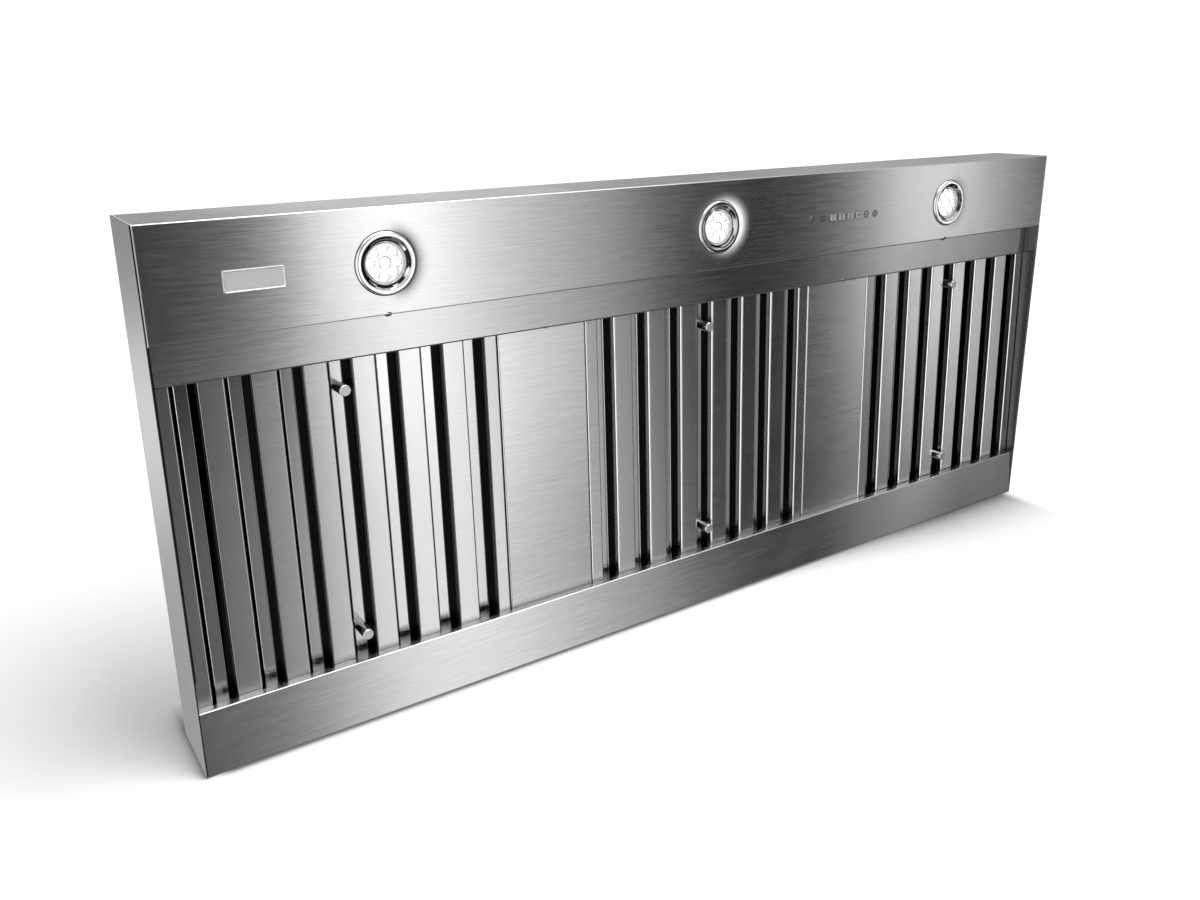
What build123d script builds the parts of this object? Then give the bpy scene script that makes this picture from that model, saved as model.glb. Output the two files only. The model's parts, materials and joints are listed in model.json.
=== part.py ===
from build123d import *

import os
from math import atan, cos, sin

# Range hood insert: a shallow stainless liner with lift-out baffle filters.
#
# The insert stands on its rear edge, as it is photographed: X runs along its width, Y runs from the
# underside (the rim plane, which faces -Y) to the duct side, and Z runs from the rear edge up to the
# front wall. The origin is the centre of the bottom of the bounding box. Every length is in mm.

# ---------------------------------------------------------------- driving dimensions: the shell
hood_width = 1330.0
hood_depth = 562.0
shell_height = 93.0
sheet = 1.2
bend = 1.6
seam = 0.4
deck_flange = 15.0
hem_depth = 9.0
hem_gap = 0.3
hem_flat = 0.06
hem_relief = 0.6

# The light panel and the rail behind its inner edge
light_panel_width = 109.0
rail_recess = 16.6
rail_face_width = 43.0
rail_overlap = 9.6
rail_sheet = 1.0
rail_channel_depth = 26.5
rail_back_flange = 20.0
notch_radius = 3.0

# The trough along the rear edge
trough_width = 72.0
trough_rise = 4.0
trough_lip_depth = 12.0
rear_rail_sheet = 1.0
rear_rail_stop = 10.0
seat_overlap = 9.0
drain_slot_length = 60.0
drain_slot_width = 4.0
drain_slot_pitch = 120.0

# ---------------------------------------------------------------- driving dimensions: the filters
filter_count = 3
filter_width = 363.0
filter_sheet = 0.8
filter_bend = 2.2
filter_rear_recess = 14.5
filter_front_recess = 24.5
filter_seam = 1.0
filter_seat_gap = 0.3
front_baffle_width = 27.0
gap_width = 24.0
front_baffle_flange = 9.0
back_baffle_width = 35.0
back_baffle_flange = 9.0
baffle_depth = 15.0
baffle_end_gap = 0.2
side_rail_least = 16.0
side_rail_back = 8.0
end_rail_flange = 7.0
end_rail_bend = 1.0
end_rail_gap = 0.1

knob_diameter = 12.0
knob_length = 25.5
knob_chamfer = 0.7
knob_stud_diameter = 4.0
knob_stud_gap = 0.05
knob_tail_diameter = 7.5
knob_tail_height = 1.2
knob_spread = 276.0
knob_offset = -2.0

filler_edge = 12.0

# ---------------------------------------------------------------- driving dimensions: the lights
light_end_setback = 231.5
light_setback = 56.5
bezel_diameter = 64.5
bezel_proud = 3.0
bezel_rim_width = 4.8
bezel_crown = 2.4
bezel_inner_round = 0.8
bezel_lip = 1.0
bezel_sleeve_diameter = 57.0
bezel_sleeve_length = 13.0
bezel_wall = 1.6
lens_diameter = 46.0
lens_rim_thickness = 2.4
lens_recess = 1.2
lens_dome = 1.4
lens_gap = 0.2
light_hole_gap = 0.4
can_length = 32.0
can_wall = 1.5
can_gap = 0.3
can_cable_hole = 8.0
led_board_thickness = 1.6
led_count = 8
led_circle_diameter = 28.0
led_diameter = 6.4
led_height = 1.4
led_gap = 0.3
led_board_inset = 0.2
clip_width = 9.0
clip_sheet = 0.6
clip_reach = 8.5
clip_leg = 12.0
clip_clearance = 2.5
clip_toe = 2.0
clip_rise = 1.0
clip_bend = 1.0
clip_gap = 0.2

# ---------------------------------------------------------------- driving dimensions: the controls
button_setback = 60.0
speed_button_count = 4
speed_button_pitch = 16.3
speed_button_x = 221.5
speed_button_width = 12.0
speed_button_height = 8.0
speed_button_corner = 1.2
round_button_diameter = 9.6
light_button_x = 159.5
fan_button_x = 279.0
button_proud = 0.9
button_travel = 0.8
button_gap = 0.3
button_flange = 1.4
button_flange_thickness = 1.0
button_edge = 0.4
button_stem_diameter = 3.4
board_setback = 14.0
board_thickness = 1.6
board_width = 22.0
board_end_margin = 12.0
switch_size = 6.0
switch_height = 3.6
switch_gap = 0.2
housing_wall = 2.0
housing_depth = 22.0
housing_ear = 12.0
housing_board_gap = 0.3
housing_post_diameter = 6.0
stud_diameter = 4.0
stud_length = 9.0
stud_hole_gap = 0.15

badge_width = 57.5
badge_height = 21.0
badge_thickness = 2.2
badge_end_setback = 101.2
badge_setback = 58.0
badge_edge = 0.9

# ---------------------------------------------------------------- driving dimensions: wiring space
driver_width = 150.0
driver_height = 42.0
driver_depth = 28.0
driver_end_setback = 375.0
driver_ear = 12.0
driver_ear_thickness = 1.5
driver_edge = 3.0
box_width = 100.0
box_height = 56.0
box_depth = 40.0
box_wall = 1.2
box_end_setback = 165.0
box_knockout_diameter = 22.0
wiring_setback = 50.0
bushing_end_setback = 65.0
bushing_hole_diameter = 22.2
bushing_bore_diameter = 16.0
bushing_flange_diameter = 28.0
bushing_flange_thickness = 2.0
bushing_length = 12.0
bushing_edge = 0.7
bushing_neck_gap = 0.1
divider_recess = 30.0
flange_gap = 0.6

# ---------------------------------------------------------------- driving dimensions: duct and deck
duct_diameter = 253.0
collar_sheet = 1.0
collar_height = 50.0
collar_flange = 18.0
collar_setback = 300.0
rivet_count = 8
rivet_head_diameter = 8.0
rivet_head_height = 1.6
rivet_head_round = 1.1
rivet_tail_height = 1.0
rivet_tail_diameter = 5.6
rivet_shank_diameter = 4.0
rivet_gap = 0.05
flap_sheet = 0.8
flap_gap = 1.6
flap_hinge_gap = 4.4
flap_height = 20.0
flap_seat_width = 4.0
flap_seat_thickness = 1.2
flap_seat_gap = 0.4
knuckle_diameter = 7.0
knuckle_length = 28.0
knuckle_gap = 0.5
knuckle_spacing = 120.0
rod_diameter = 4.0
rod_running_gap = 0.06
rod_end_recess = 0.2
hanging_hole_diameter = 8.5
hanging_inset_x = 75.0
hanging_rear_z = 92.0
hanging_front_setback = 130.0
screw_head_diameter = 8.0
screw_head_height = 2.2
screw_head_chamfer = 0.7
screw_shank_diameter = 3.9
screw_hole_gap = 0.15
screw_length = 8.0
screw_row_count = 6
screw_side_count = 3

# ---------------------------------------------------------------- places worked out from these
overall_height = bezel_proud + shell_height + collar_height
rim_y = bezel_proud - overall_height / 2
deck_y = rim_y + shell_height
deck_inner_y = deck_y - sheet
half_width = hood_width / 2
inner_half_width = half_width - sheet

light_panel_z = hood_depth - light_panel_width
rail_y = rim_y + rail_recess
rail_web_z = light_panel_z - rail_sheet
rail_edge_z = light_panel_z - rail_face_width
rail_back_y = rail_y + rail_sheet + rail_channel_depth
panel_flange = rail_recess + rail_channel_depth

# The filters slope, so that grease runs down to the trough. They reach from the stop on the rear
# rail to behind the edge of the front rail.
end_rail_front = filter_sheet + end_rail_gap
end_rail_back = baffle_depth + 2 * filter_sheet + end_rail_gap
stop_z = trough_width - seat_overlap
filter_front_z = rail_edge_z + rail_overlap
filter_tilt = atan((filter_front_recess - filter_rear_recess) / (filter_front_z - stop_z))
tilt_sin = sin(filter_tilt)
tilt_cos = cos(filter_tilt)
filter_rear_y = rim_y + filter_rear_recess
filter_rear_z = stop_z + filter_seat_gap + end_rail_back * tilt_sin
filter_length = (filter_front_z - filter_rear_z) / tilt_cos
shelf_y = filter_rear_y - end_rail_front - filter_seat_gap
baffle_length = filter_length - 2 * (filter_sheet + baffle_end_gap)

seam_total = 2 * filter_count * filter_seam
filler_count = filter_count - 1
filler_width = (2 * inner_half_width - filter_count * filter_width - seam_total) / filler_count
filter_spacing = filter_width + filler_width + 2 * filter_seam
filter_centres = [filter_spacing * (i - (filter_count - 1) / 2) for i in range(filter_count)]
filler_centres = [filter_spacing * (i - (filler_count - 1) / 2) for i in range(filler_count)]

# As many front channels as fit between the side rails, which take up what is left over
baffle_pitch = front_baffle_width + gap_width
front_baffle_count = int((filter_width - 2 * side_rail_least - gap_width) / baffle_pitch)
side_rail_width = (filter_width - gap_width - front_baffle_count * baffle_pitch) / 2
front_baffle_centres = [
    baffle_pitch * (i - (front_baffle_count - 1) / 2) for i in range(front_baffle_count)
]
back_baffle_centres = [baffle_pitch * (i - front_baffle_count / 2) for i in range(front_baffle_count + 1)]
knob_x = back_baffle_centres[len(back_baffle_centres) // 2]

light_z = hood_depth - light_setback
light_centres = [(half_width - light_end_setback) * i for i in (-1, 0, 1)]
badge_x = badge_end_setback - half_width
button_z = hood_depth - button_setback
speed_button_centres = [
    speed_button_x + speed_button_pitch * (i - (speed_button_count - 1) / 2)
    for i in range(speed_button_count)
]
button_back_y = rim_y + sheet + button_gap + button_flange_thickness
board_y = rim_y + board_setback
switch_top_y = board_y - switch_height
board_x0 = light_button_x - board_end_margin
board_x1 = fan_button_x + board_end_margin
wiring_z = hood_depth - wiring_setback
driver_x = driver_end_setback - half_width
box_x = half_width - box_end_setback
bushing_x = half_width - bushing_end_setback

collar_z = hood_depth - collar_setback
collar_radius = duct_diameter / 2
collar_bore_radius = collar_radius - collar_sheet
rivet_circle_radius = collar_radius + collar_flange / 2
flap_y = deck_y + flap_height

os.makedirs("parts", exist_ok=True)


# ---------------------------------------------------------------- helpers
def side_plane(x):
    """The plane across the width at x: its own x runs along Y and its own y along Z."""
    return Plane.YZ.offset(x)


def depth_plane(y, x=0.0, z=0.0):
    """A plane that faces +Y at y: its own x runs along X and its own y along -Z."""
    return Plane(origin=(x, y, z), x_dir=(1, 0, 0), z_dir=(0, 1, 0))


def filter_end_plane(x, run):
    """A plane across a filter at a distance run from its rear end.

    Its own x runs along X, its own y into the hood, and its normal along the filter.
    """
    origin = (x, filter_rear_y + run * tilt_sin, filter_rear_z + run * tilt_cos)
    return Plane(origin=origin, x_dir=(1, 0, 0), z_dir=(0, tilt_sin, tilt_cos))


def filter_side_plane(x):
    """A plane along a filter at x: its own x runs into the hood and its own y along the filter."""
    origin = (x, filter_rear_y, filter_rear_z)
    return Plane(origin=origin, x_dir=(0, tilt_cos, -tilt_sin), z_dir=(1, 0, 0))


def filter_face_plane(x, run, depth=0.0):
    """A plane on a filter that faces out of the hood, depth behind the filter's face."""
    y = filter_rear_y + run * tilt_sin + depth * tilt_cos
    z = filter_rear_z + run * tilt_cos - depth * tilt_sin
    return Plane(origin=(x, y, z), x_dir=(1, 0, 0), z_dir=(0, -tilt_cos, tilt_sin))


def fold(plane, points, thickness, radius, side=Side.LEFT):
    """The section of a folded sheet whose outer face follows points on plane."""
    with BuildSketch(plane) as section:
        with BuildLine():
            FilletPolyline(*points, radius=radius)
            offset(amount=thickness, side=side)
        make_face()
    return section.sketch


def light_plane(x):
    """The plane through a light's axis at x: its own x runs along X and its own y along Y."""
    return Plane(origin=(x, 0, light_z), x_dir=(1, 0, 0), z_dir=(0, 0, 1))


def depth_axis(x, z):
    """The line along Y through (x, z)."""
    return Axis((x, 0, z), (0, 1, 0))


def save(part, name):
    """Label a finished piece and write it as its own file."""
    part.label = name
    export_step(part, f"parts/{name}.step")


# ---------------------------------------------------------------- screw places on the deck
screw_inset = deck_flange / 2
screw_row_span = hood_width - 2 * deck_flange - 8 * screw_head_diameter
screw_row_step = screw_row_span / (screw_row_count - 1)
screw_side_span = hood_depth - 8 * screw_head_diameter
screw_side_step = screw_side_span / (screw_side_count + 1)
front_screws = [
    (screw_row_step * (i - (screw_row_count - 1) / 2), hood_depth - sheet - screw_inset)
    for i in range(screw_row_count)
]
rear_screws = [(x, sheet + screw_inset) for x, _ in front_screws]
side_screw_z = [
    hood_depth / 2 + screw_side_step * (i - (screw_side_count - 1) / 2)
    for i in range(screw_side_count)
]
left_screws = [(-inner_half_width + screw_inset, z) for z in side_screw_z]
right_screws = [(inner_half_width - screw_inset, z) for z in side_screw_z]
driver_screws = [(driver_x + side * (driver_width + driver_ear) / 2, wiring_z) for side in (-1, 1)]
deck_screw_places = front_screws + rear_screws + left_screws + right_screws + driver_screws
screw_hole_radius = screw_shank_diameter / 2 + screw_hole_gap


def deck_hole_points(places):
    """Places given as (x, z), written in the own axes of a plane that faces +Y."""
    return [(x, -z) for x, z in places]


# ---------------------------------------------------------------- front wall and light panel
inner_length = 2 * (inner_half_width - seam)
panel_inner_y = rim_y + sheet
stud_x = [board_x0 - housing_board_gap - housing_wall - housing_ear / 2]
stud_x.append(board_x1 + housing_board_gap + housing_wall + housing_ear / 2)

with BuildPart() as front_light_panel:
    front_points = [
        (deck_inner_y, hood_depth - sheet - deck_flange),
        (deck_inner_y, hood_depth),
        (rim_y, hood_depth),
        (rim_y, light_panel_z),
        (rim_y + panel_flange, light_panel_z),
    ]
    extrude(fold(side_plane(-inner_length / 2), front_points, sheet, bend), amount=inner_length)
    with BuildSketch(depth_plane(rim_y)):
        with Locations(*[(x, -light_z) for x in light_centres]):
            Circle(bezel_sleeve_diameter / 2 + light_hole_gap)
        with Locations(*[(x, -button_z) for x in speed_button_centres]):
            RectangleRounded(
                speed_button_width + 2 * button_gap,
                speed_button_height + 2 * button_gap,
                speed_button_corner + button_gap,
            )
        with Locations((light_button_x, -button_z), (fan_button_x, -button_z)):
            Circle(round_button_diameter / 2 + button_gap)
    extrude(amount=sheet, mode=Mode.SUBTRACT)
    # two half-round notches in the edge over the filters, below the outer lights
    with BuildSketch(depth_plane(rim_y)):
        with Locations(*[(x, -light_panel_z) for x in (light_centres[0], light_centres[-1])]):
            Circle(notch_radius)
    extrude(amount=sheet + bend, mode=Mode.SUBTRACT)
    with BuildSketch(depth_plane(deck_inner_y - sheet)):
        with Locations(*deck_hole_points(front_screws)):
            Circle(screw_hole_radius)
    extrude(amount=sheet, mode=Mode.SUBTRACT)
    with BuildSketch(depth_plane(panel_inner_y)):
        with Locations(*[(x, -button_z) for x in stud_x]):
            Circle(stud_diameter / 2)
    extrude(amount=stud_length)
save(front_light_panel.part, "front_light_panel")


# ---------------------------------------------------------------- side walls
def side_wall(side):
    """A side plate, side -1 or 1, with a closed hem along the rim and a flange under the deck."""
    outer = side * half_width
    hem_x = outer - side * (2 * sheet + hem_gap)
    hem_radius = (2 * sheet + hem_gap - hem_flat) / 2
    turn = Side.RIGHT if side > 0 else Side.LEFT
    points = [
        (outer - side * (sheet + deck_flange), deck_inner_y),
        (outer, deck_inner_y),
        (outer, rim_y),
        (hem_x, rim_y),
        (hem_x, rim_y + hem_depth),
    ]
    inner = side * (inner_half_width - deck_flange)
    flange_cut = sheet + deck_flange + flange_gap
    hem_front = light_panel_z - hem_relief
    with BuildPart() as wall:
        extrude(fold(Plane.XY, points, sheet, [bend, hem_radius, hem_radius], turn), amount=hood_depth)
        # the hem stops at the trough and at the light panel, which reach the wall themselves
        with BuildSketch(Plane.XY, Plane.XY.offset(hem_front)):
            with Locations((side * inner_half_width, rim_y)):
                Rectangle(2 * deck_flange, 2 * hem_depth + hem_relief)
            Rectangle(2 * inner_half_width, 2 * half_width, mode=Mode.INTERSECT)
        extrude(amount=hood_depth - hem_front, mode=Mode.SUBTRACT)
        # the flange stops short of the front and rear flanges
        with BuildSketch(Plane.XY, Plane.XY.offset(hood_depth - flange_cut)):
            with Locations((inner, deck_inner_y)):
                Rectangle(2 * deck_flange, 4 * sheet)
        extrude(amount=flange_cut, mode=Mode.SUBTRACT)
        with BuildSketch(depth_plane(deck_inner_y - sheet)):
            with Locations(*deck_hole_points(right_screws if side > 0 else left_screws)):
                Circle(screw_hole_radius)
        extrude(amount=sheet, mode=Mode.SUBTRACT)
    return wall.part


save(side_wall(-1), "left_side_wall")
save(side_wall(1), "right_side_wall")

# ---------------------------------------------------------------- rear wall and trough
with BuildPart() as rear_wall:
    rear_points = [
        (deck_inner_y, sheet + deck_flange),
        (deck_inner_y, 0),
        (rim_y, 0),
        (rim_y + trough_rise, trough_width),
        (rim_y + trough_lip_depth, trough_width),
    ]
    rear_section = fold(side_plane(-inner_length / 2), rear_points, sheet, bend, Side.RIGHT)
    extrude(rear_section, amount=inner_length)
    with BuildSketch(depth_plane(deck_inner_y - sheet)):
        with Locations(*deck_hole_points(rear_screws)):
            Circle(screw_hole_radius)
    extrude(amount=sheet, mode=Mode.SUBTRACT)
save(rear_wall.part, "rear_wall")

# ---------------------------------------------------------------- rails that hold the filters
with BuildPart() as front_filter_rail:
    rail_points = [
        (rail_y, rail_edge_z),
        (rail_y, light_panel_z),
        (rail_back_y + rail_sheet, light_panel_z),
        (rail_back_y + rail_sheet, light_panel_z - rail_back_flange),
    ]
    rail_section = fold(side_plane(-inner_length / 2), rail_points, rail_sheet, bend, Side.RIGHT)
    extrude(rail_section, amount=inner_length)
    with BuildSketch(depth_plane(rail_y)):
        with Locations(*[(x, -rail_edge_z) for x in filler_centres]):
            Circle(notch_radius)
    extrude(amount=rail_sheet, mode=Mode.SUBTRACT)
save(front_filter_rail.part, "front_filter_rail")

with BuildPart() as rear_filter_rail:
    lip_inner_z = trough_width - sheet
    seat_points = [
        (rim_y + trough_rise + bend + sheet, lip_inner_z),
        (shelf_y, lip_inner_z),
        (shelf_y, stop_z),
        (shelf_y + rear_rail_stop, stop_z),
    ]
    seat_radii = [bend, bend - rear_rail_sheet]
    seat_section = fold(
        side_plane(-inner_length / 2), seat_points, rear_rail_sheet, seat_radii, Side.RIGHT
    )
    extrude(seat_section, amount=inner_length)
    slot_count = int(inner_length / drain_slot_pitch)
    slot_z = (stop_z + lip_inner_z - rear_rail_sheet) / 2
    with BuildSketch(depth_plane(shelf_y - rear_rail_sheet, 0, slot_z)):
        with GridLocations(drain_slot_pitch, 1, slot_count, 1):
            SlotOverall(drain_slot_length, drain_slot_width)
    extrude(amount=rear_rail_sheet, mode=Mode.SUBTRACT)
save(rear_filter_rail.part, "rear_filter_rail")


# ---------------------------------------------------------------- filler panels
def filler_panel(x):
    """A flat tray between two filters, seated like them, with both edges bent into the hood."""
    half = filler_width / 2
    points = [(-half, filler_edge), (-half, 0), (half, 0), (half, filler_edge)]
    with BuildPart() as panel:
        extrude(fold(filter_end_plane(x, 0), points, filter_sheet, bend), amount=filter_length)
    return panel.part


save(filler_panel(filler_centres[0]), "filler_panel_left")
save(filler_panel(filler_centres[1]), "filler_panel_right")


# ---------------------------------------------------------------- baffle filters
# Front channels open into the hood and back channels open towards the cook. Each back channel's
# edges reach between the edges of two front channels, so air has to turn twice on its way through.
baffle_start = filter_sheet + baffle_end_gap
back_face = baffle_depth + filter_sheet
knob_runs = [filter_length / 2 + knob_offset + side * knob_spread / 2 for side in (-1, 1)]


def front_baffles(x):
    """The channels whose webs face the cook."""
    half = front_baffle_width / 2
    with BuildPart() as baffles:
        for centre in front_baffle_centres:
            points = [
                (centre - half, front_baffle_flange),
                (centre - half, 0),
                (centre + half, 0),
                (centre + half, front_baffle_flange),
            ]
            section = fold(filter_end_plane(x, baffle_start), points, filter_sheet, filter_bend)
            extrude(section, amount=baffle_length)
    return baffles.part


def back_baffles(x):
    """The channels that stand behind the gaps; the middle one carries the two knobs."""
    half = back_baffle_width / 2
    edge = back_face - back_baffle_flange
    with BuildPart() as baffles:
        for centre in back_baffle_centres:
            points = [
                (centre - half, edge),
                (centre - half, back_face),
                (centre + half, back_face),
                (centre + half, edge),
            ]
            plane = filter_end_plane(x, baffle_start)
            extrude(fold(plane, points, filter_sheet, filter_bend, Side.RIGHT), amount=baffle_length)
        for run in knob_runs:
            with BuildSketch(filter_face_plane(x + knob_x, run, back_face)):
                Circle(knob_stud_diameter / 2 + knob_stud_gap)
            extrude(amount=filter_sheet, mode=Mode.SUBTRACT)
    return baffles.part


def side_rails(x):
    """The two channels along a filter's sides, each with one edge that works as half a baffle."""
    outer = filter_width / 2
    inner = outer - side_rail_width
    with BuildPart() as rails:
        for side in (-1, 1):
            points = [
                (side * inner, front_baffle_flange),
                (side * inner, 0),
                (side * outer, 0),
                (side * outer, back_face),
                (side * (outer - side_rail_back), back_face),
            ]
            plane = filter_end_plane(x, baffle_start)
            turn = Side.LEFT if side > 0 else Side.RIGHT
            extrude(fold(plane, points, filter_sheet, bend, turn), amount=baffle_length)
    return rails.part


def end_rails(x):
    """The two channels that close a filter's rear and front ends round all its baffles."""
    front = -end_rail_front
    back = end_rail_back
    with BuildPart() as rails:
        for end, inward, turn in ((0, 1, Side.LEFT), (filter_length, -1, Side.RIGHT)):
            edge = end + inward * end_rail_flange
            points = [(front, edge), (front, end), (back, end), (back, edge)]
            plane = filter_side_plane(x - filter_width / 2)
            extrude(fold(plane, points, filter_sheet, end_rail_bend, turn), amount=filter_width)
    return rails.part


def knobs(x):
    """Two turned knobs, each riveted by its stud through the middle back channel."""
    with BuildPart() as pair:
        for run in knob_runs:
            with BuildSketch(filter_face_plane(x + knob_x, run, baffle_depth)):
                Circle(knob_diameter / 2)
            extrude(amount=knob_length)
            with BuildSketch(filter_face_plane(x + knob_x, run, back_face)):
                Circle(knob_stud_diameter / 2)
            extrude(amount=filter_sheet)
            with BuildSketch(filter_face_plane(x + knob_x, run, back_face + knob_tail_height)):
                Circle(knob_tail_diameter / 2)
            extrude(amount=knob_tail_height)
        outer_faces = pair.faces().sort_by(Axis((0, 0, 0), (0, -tilt_cos, tilt_sin)))[-2:]
        chamfer(outer_faces.edges(), knob_chamfer)
    return pair.part


for number, filter_x in enumerate(filter_centres, 1):
    save(side_rails(filter_x), f"filter_{number}_side_rails")
    save(end_rails(filter_x), f"filter_{number}_end_rails")
    save(front_baffles(filter_x), f"filter_{number}_front_baffles")
    save(back_baffles(filter_x), f"filter_{number}_back_baffles")
    save(knobs(filter_x), f"filter_{number}_knobs")

# ---------------------------------------------------------------- lights
bezel_radius = bezel_diameter / 2
sleeve_radius = bezel_sleeve_diameter / 2
sleeve_bore = sleeve_radius - bezel_wall
sleeve_end_y = rim_y + bezel_sleeve_length
lens_radius = lens_diameter / 2
lip_radius = lens_radius - bezel_lip
pocket_radius = lens_radius + lens_gap
lens_front_y = rim_y + lens_recess
lens_back_y = lens_front_y + lens_rim_thickness
led_front_y = lens_back_y + led_gap
led_board_y = led_front_y + led_height
can_y = led_board_y + led_board_thickness
can_radius = sleeve_bore - can_gap


def bezel(x):
    """A flange ring with an inner cone down to the lens, and a sleeve through the light panel."""
    with BuildPart() as ring:
        with BuildSketch(light_plane(x)):
            with BuildLine():
                crown = FilletPolyline(
                    (bezel_radius, rim_y),
                    (bezel_radius, rim_y - bezel_proud),
                    (bezel_radius - bezel_rim_width, rim_y - bezel_proud),
                    (lip_radius, lens_front_y - bezel_lip),
                    radius=[bezel_crown, bezel_inner_round],
                )
                Polyline(
                    crown @ 1,
                    (lip_radius, lens_front_y),
                    (pocket_radius, lens_front_y),
                    (pocket_radius, lens_back_y),
                    (sleeve_bore, lens_back_y),
                    (sleeve_bore, sleeve_end_y),
                    (sleeve_radius, sleeve_end_y),
                    (sleeve_radius, rim_y),
                    crown @ 0,
                )
            make_face()
        revolve(axis=depth_axis(x, light_z))
    return ring.part


def lens(x):
    """A clear lens with a low dome that stands through the bezel's lip."""
    with BuildPart() as disc:
        with BuildSketch(light_plane(x)):
            with BuildLine():
                dome_edge = (lip_radius - lens_gap, lens_front_y)
                dome = TangentArc((0, lens_front_y - lens_dome), dome_edge, tangent=(1, 0))
                Polyline(
                    dome @ 1,
                    (lens_radius, lens_front_y),
                    (lens_radius, lens_back_y),
                    (0, lens_back_y),
                    dome @ 0,
                )
            make_face()
        revolve(axis=depth_axis(x, light_z))
    return disc.part


def led_board(x):
    """A round board with a ring of emitters."""
    with BuildPart() as board:
        with BuildSketch(depth_plane(led_board_y, x, light_z)):
            Circle(can_radius - led_board_inset)
        extrude(amount=led_board_thickness)
        with BuildSketch(depth_plane(led_front_y, x, light_z)):
            with PolarLocations(led_circle_diameter / 2, led_count):
                Circle(led_diameter / 2)
        extrude(amount=led_height)
    return board.part


def can(x):
    """The closed can that carries the board and sheds its heat."""
    with BuildPart() as cup:
        with BuildSketch(depth_plane(can_y, x, light_z)):
            Circle(can_radius)
        extrude(amount=can_length)
        with BuildSketch(depth_plane(can_y, x, light_z)):
            Circle(can_radius - can_wall)
        extrude(amount=can_length - can_wall, mode=Mode.SUBTRACT)
        with BuildSketch(depth_plane(can_y + can_length - can_wall, x, light_z)):
            Circle(can_cable_hole / 2)
        extrude(amount=can_wall, mode=Mode.SUBTRACT)
    return cup.part


def clips(x):
    """Two leaf springs on the can that press on the inside of the light panel."""
    with BuildPart() as springs:
        for side in (-1, 1):
            points = [
                (side * can_radius, sleeve_end_y + clip_clearance + clip_leg),
                (side * can_radius, sleeve_end_y + clip_clearance),
                (side * (sleeve_radius + clip_clearance), sleeve_end_y),
                (side * (sleeve_radius + clip_reach), panel_inner_y + clip_gap),
                (side * (sleeve_radius + clip_reach + clip_toe), panel_inner_y + clip_gap + clip_rise),
            ]
            turn = Side.LEFT if side > 0 else Side.RIGHT
            section = fold(light_plane(x), points, clip_sheet, clip_bend, turn)
            extrude(section, amount=clip_width / 2, both=True)
    return springs.part


for number, light_x in enumerate(light_centres, 1):
    save(bezel(light_x), f"light_{number}_bezel")
    save(lens(light_x), f"light_{number}_lens")
    save(led_board(light_x), f"light_{number}_led_board")
    save(can(light_x), f"light_{number}_can")
    save(clips(light_x), f"light_{number}_clips")

# ---------------------------------------------------------------- badge plate
with BuildPart() as badge_plate:
    with BuildSketch(depth_plane(rim_y - badge_thickness, badge_x, hood_depth - badge_setback)):
        Rectangle(badge_width, badge_height)
    extrude(amount=badge_thickness)
    fillet(badge_plate.faces().sort_by(Axis.Y)[0].edges(), badge_edge)
save(badge_plate.part, "badge_plate")


# ---------------------------------------------------------------- buttons and control board
def button(x, cap, flange):
    """A push button: a cap through the panel, a flange that keeps it in, and a stem.

    cap and flange are sketches on the plane of the cap's front face, drawn round the origin.
    """
    front_y = rim_y - button_proud
    flange_y = button_back_y - button_flange_thickness
    stem_end_y = switch_top_y - button_travel - switch_gap
    with BuildPart() as piece:
        extrude(depth_plane(front_y, x, button_z) * cap, amount=button_back_y - front_y)
        fillet(piece.faces().sort_by(Axis.Y)[0].edges(), button_edge)
        extrude(depth_plane(flange_y, x, button_z) * flange, amount=button_flange_thickness)
        with BuildSketch(depth_plane(button_back_y, x, button_z)):
            Circle(button_stem_diameter / 2)
        extrude(amount=stem_end_y - button_back_y)
    return piece.part


def round_button(x):
    """A round push button at x."""
    radius = round_button_diameter / 2
    return button(x, Sketch() + Circle(radius), Sketch() + Circle(radius + button_flange))


def square_button(x):
    """A square push button at x."""
    cap = RectangleRounded(speed_button_width, speed_button_height, speed_button_corner)
    flange = RectangleRounded(
        speed_button_width + 2 * button_flange,
        speed_button_height + 2 * button_flange,
        speed_button_corner + button_flange,
    )
    return button(x, Sketch() + cap, Sketch() + flange)


save(round_button(light_button_x), "light_button")
save(round_button(fan_button_x), "fan_button")
for number, button_x in enumerate(speed_button_centres, 1):
    save(square_button(button_x), f"speed_button_{number}")

board_length = board_x1 - board_x0
board_x = (board_x0 + board_x1) / 2
switch_x = [light_button_x] + speed_button_centres + [fan_button_x]

with BuildPart() as control_board:
    with BuildSketch(depth_plane(board_y, board_x, button_z)):
        Rectangle(board_length, board_width)
    extrude(amount=board_thickness)
    with BuildSketch(depth_plane(switch_top_y)):
        with Locations(*[(x, -button_z) for x in switch_x]):
            Rectangle(switch_size, switch_size)
    extrude(amount=switch_height)
save(control_board.part, "control_board")

housing_length = board_length + 2 * (housing_board_gap + housing_wall)
housing_width = board_width + 2 * (housing_board_gap + housing_wall)
housing_floor_y = panel_inner_y + housing_depth - housing_wall
post_spread_x = board_length - housing_post_diameter
post_spread_z = board_width - housing_post_diameter

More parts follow.
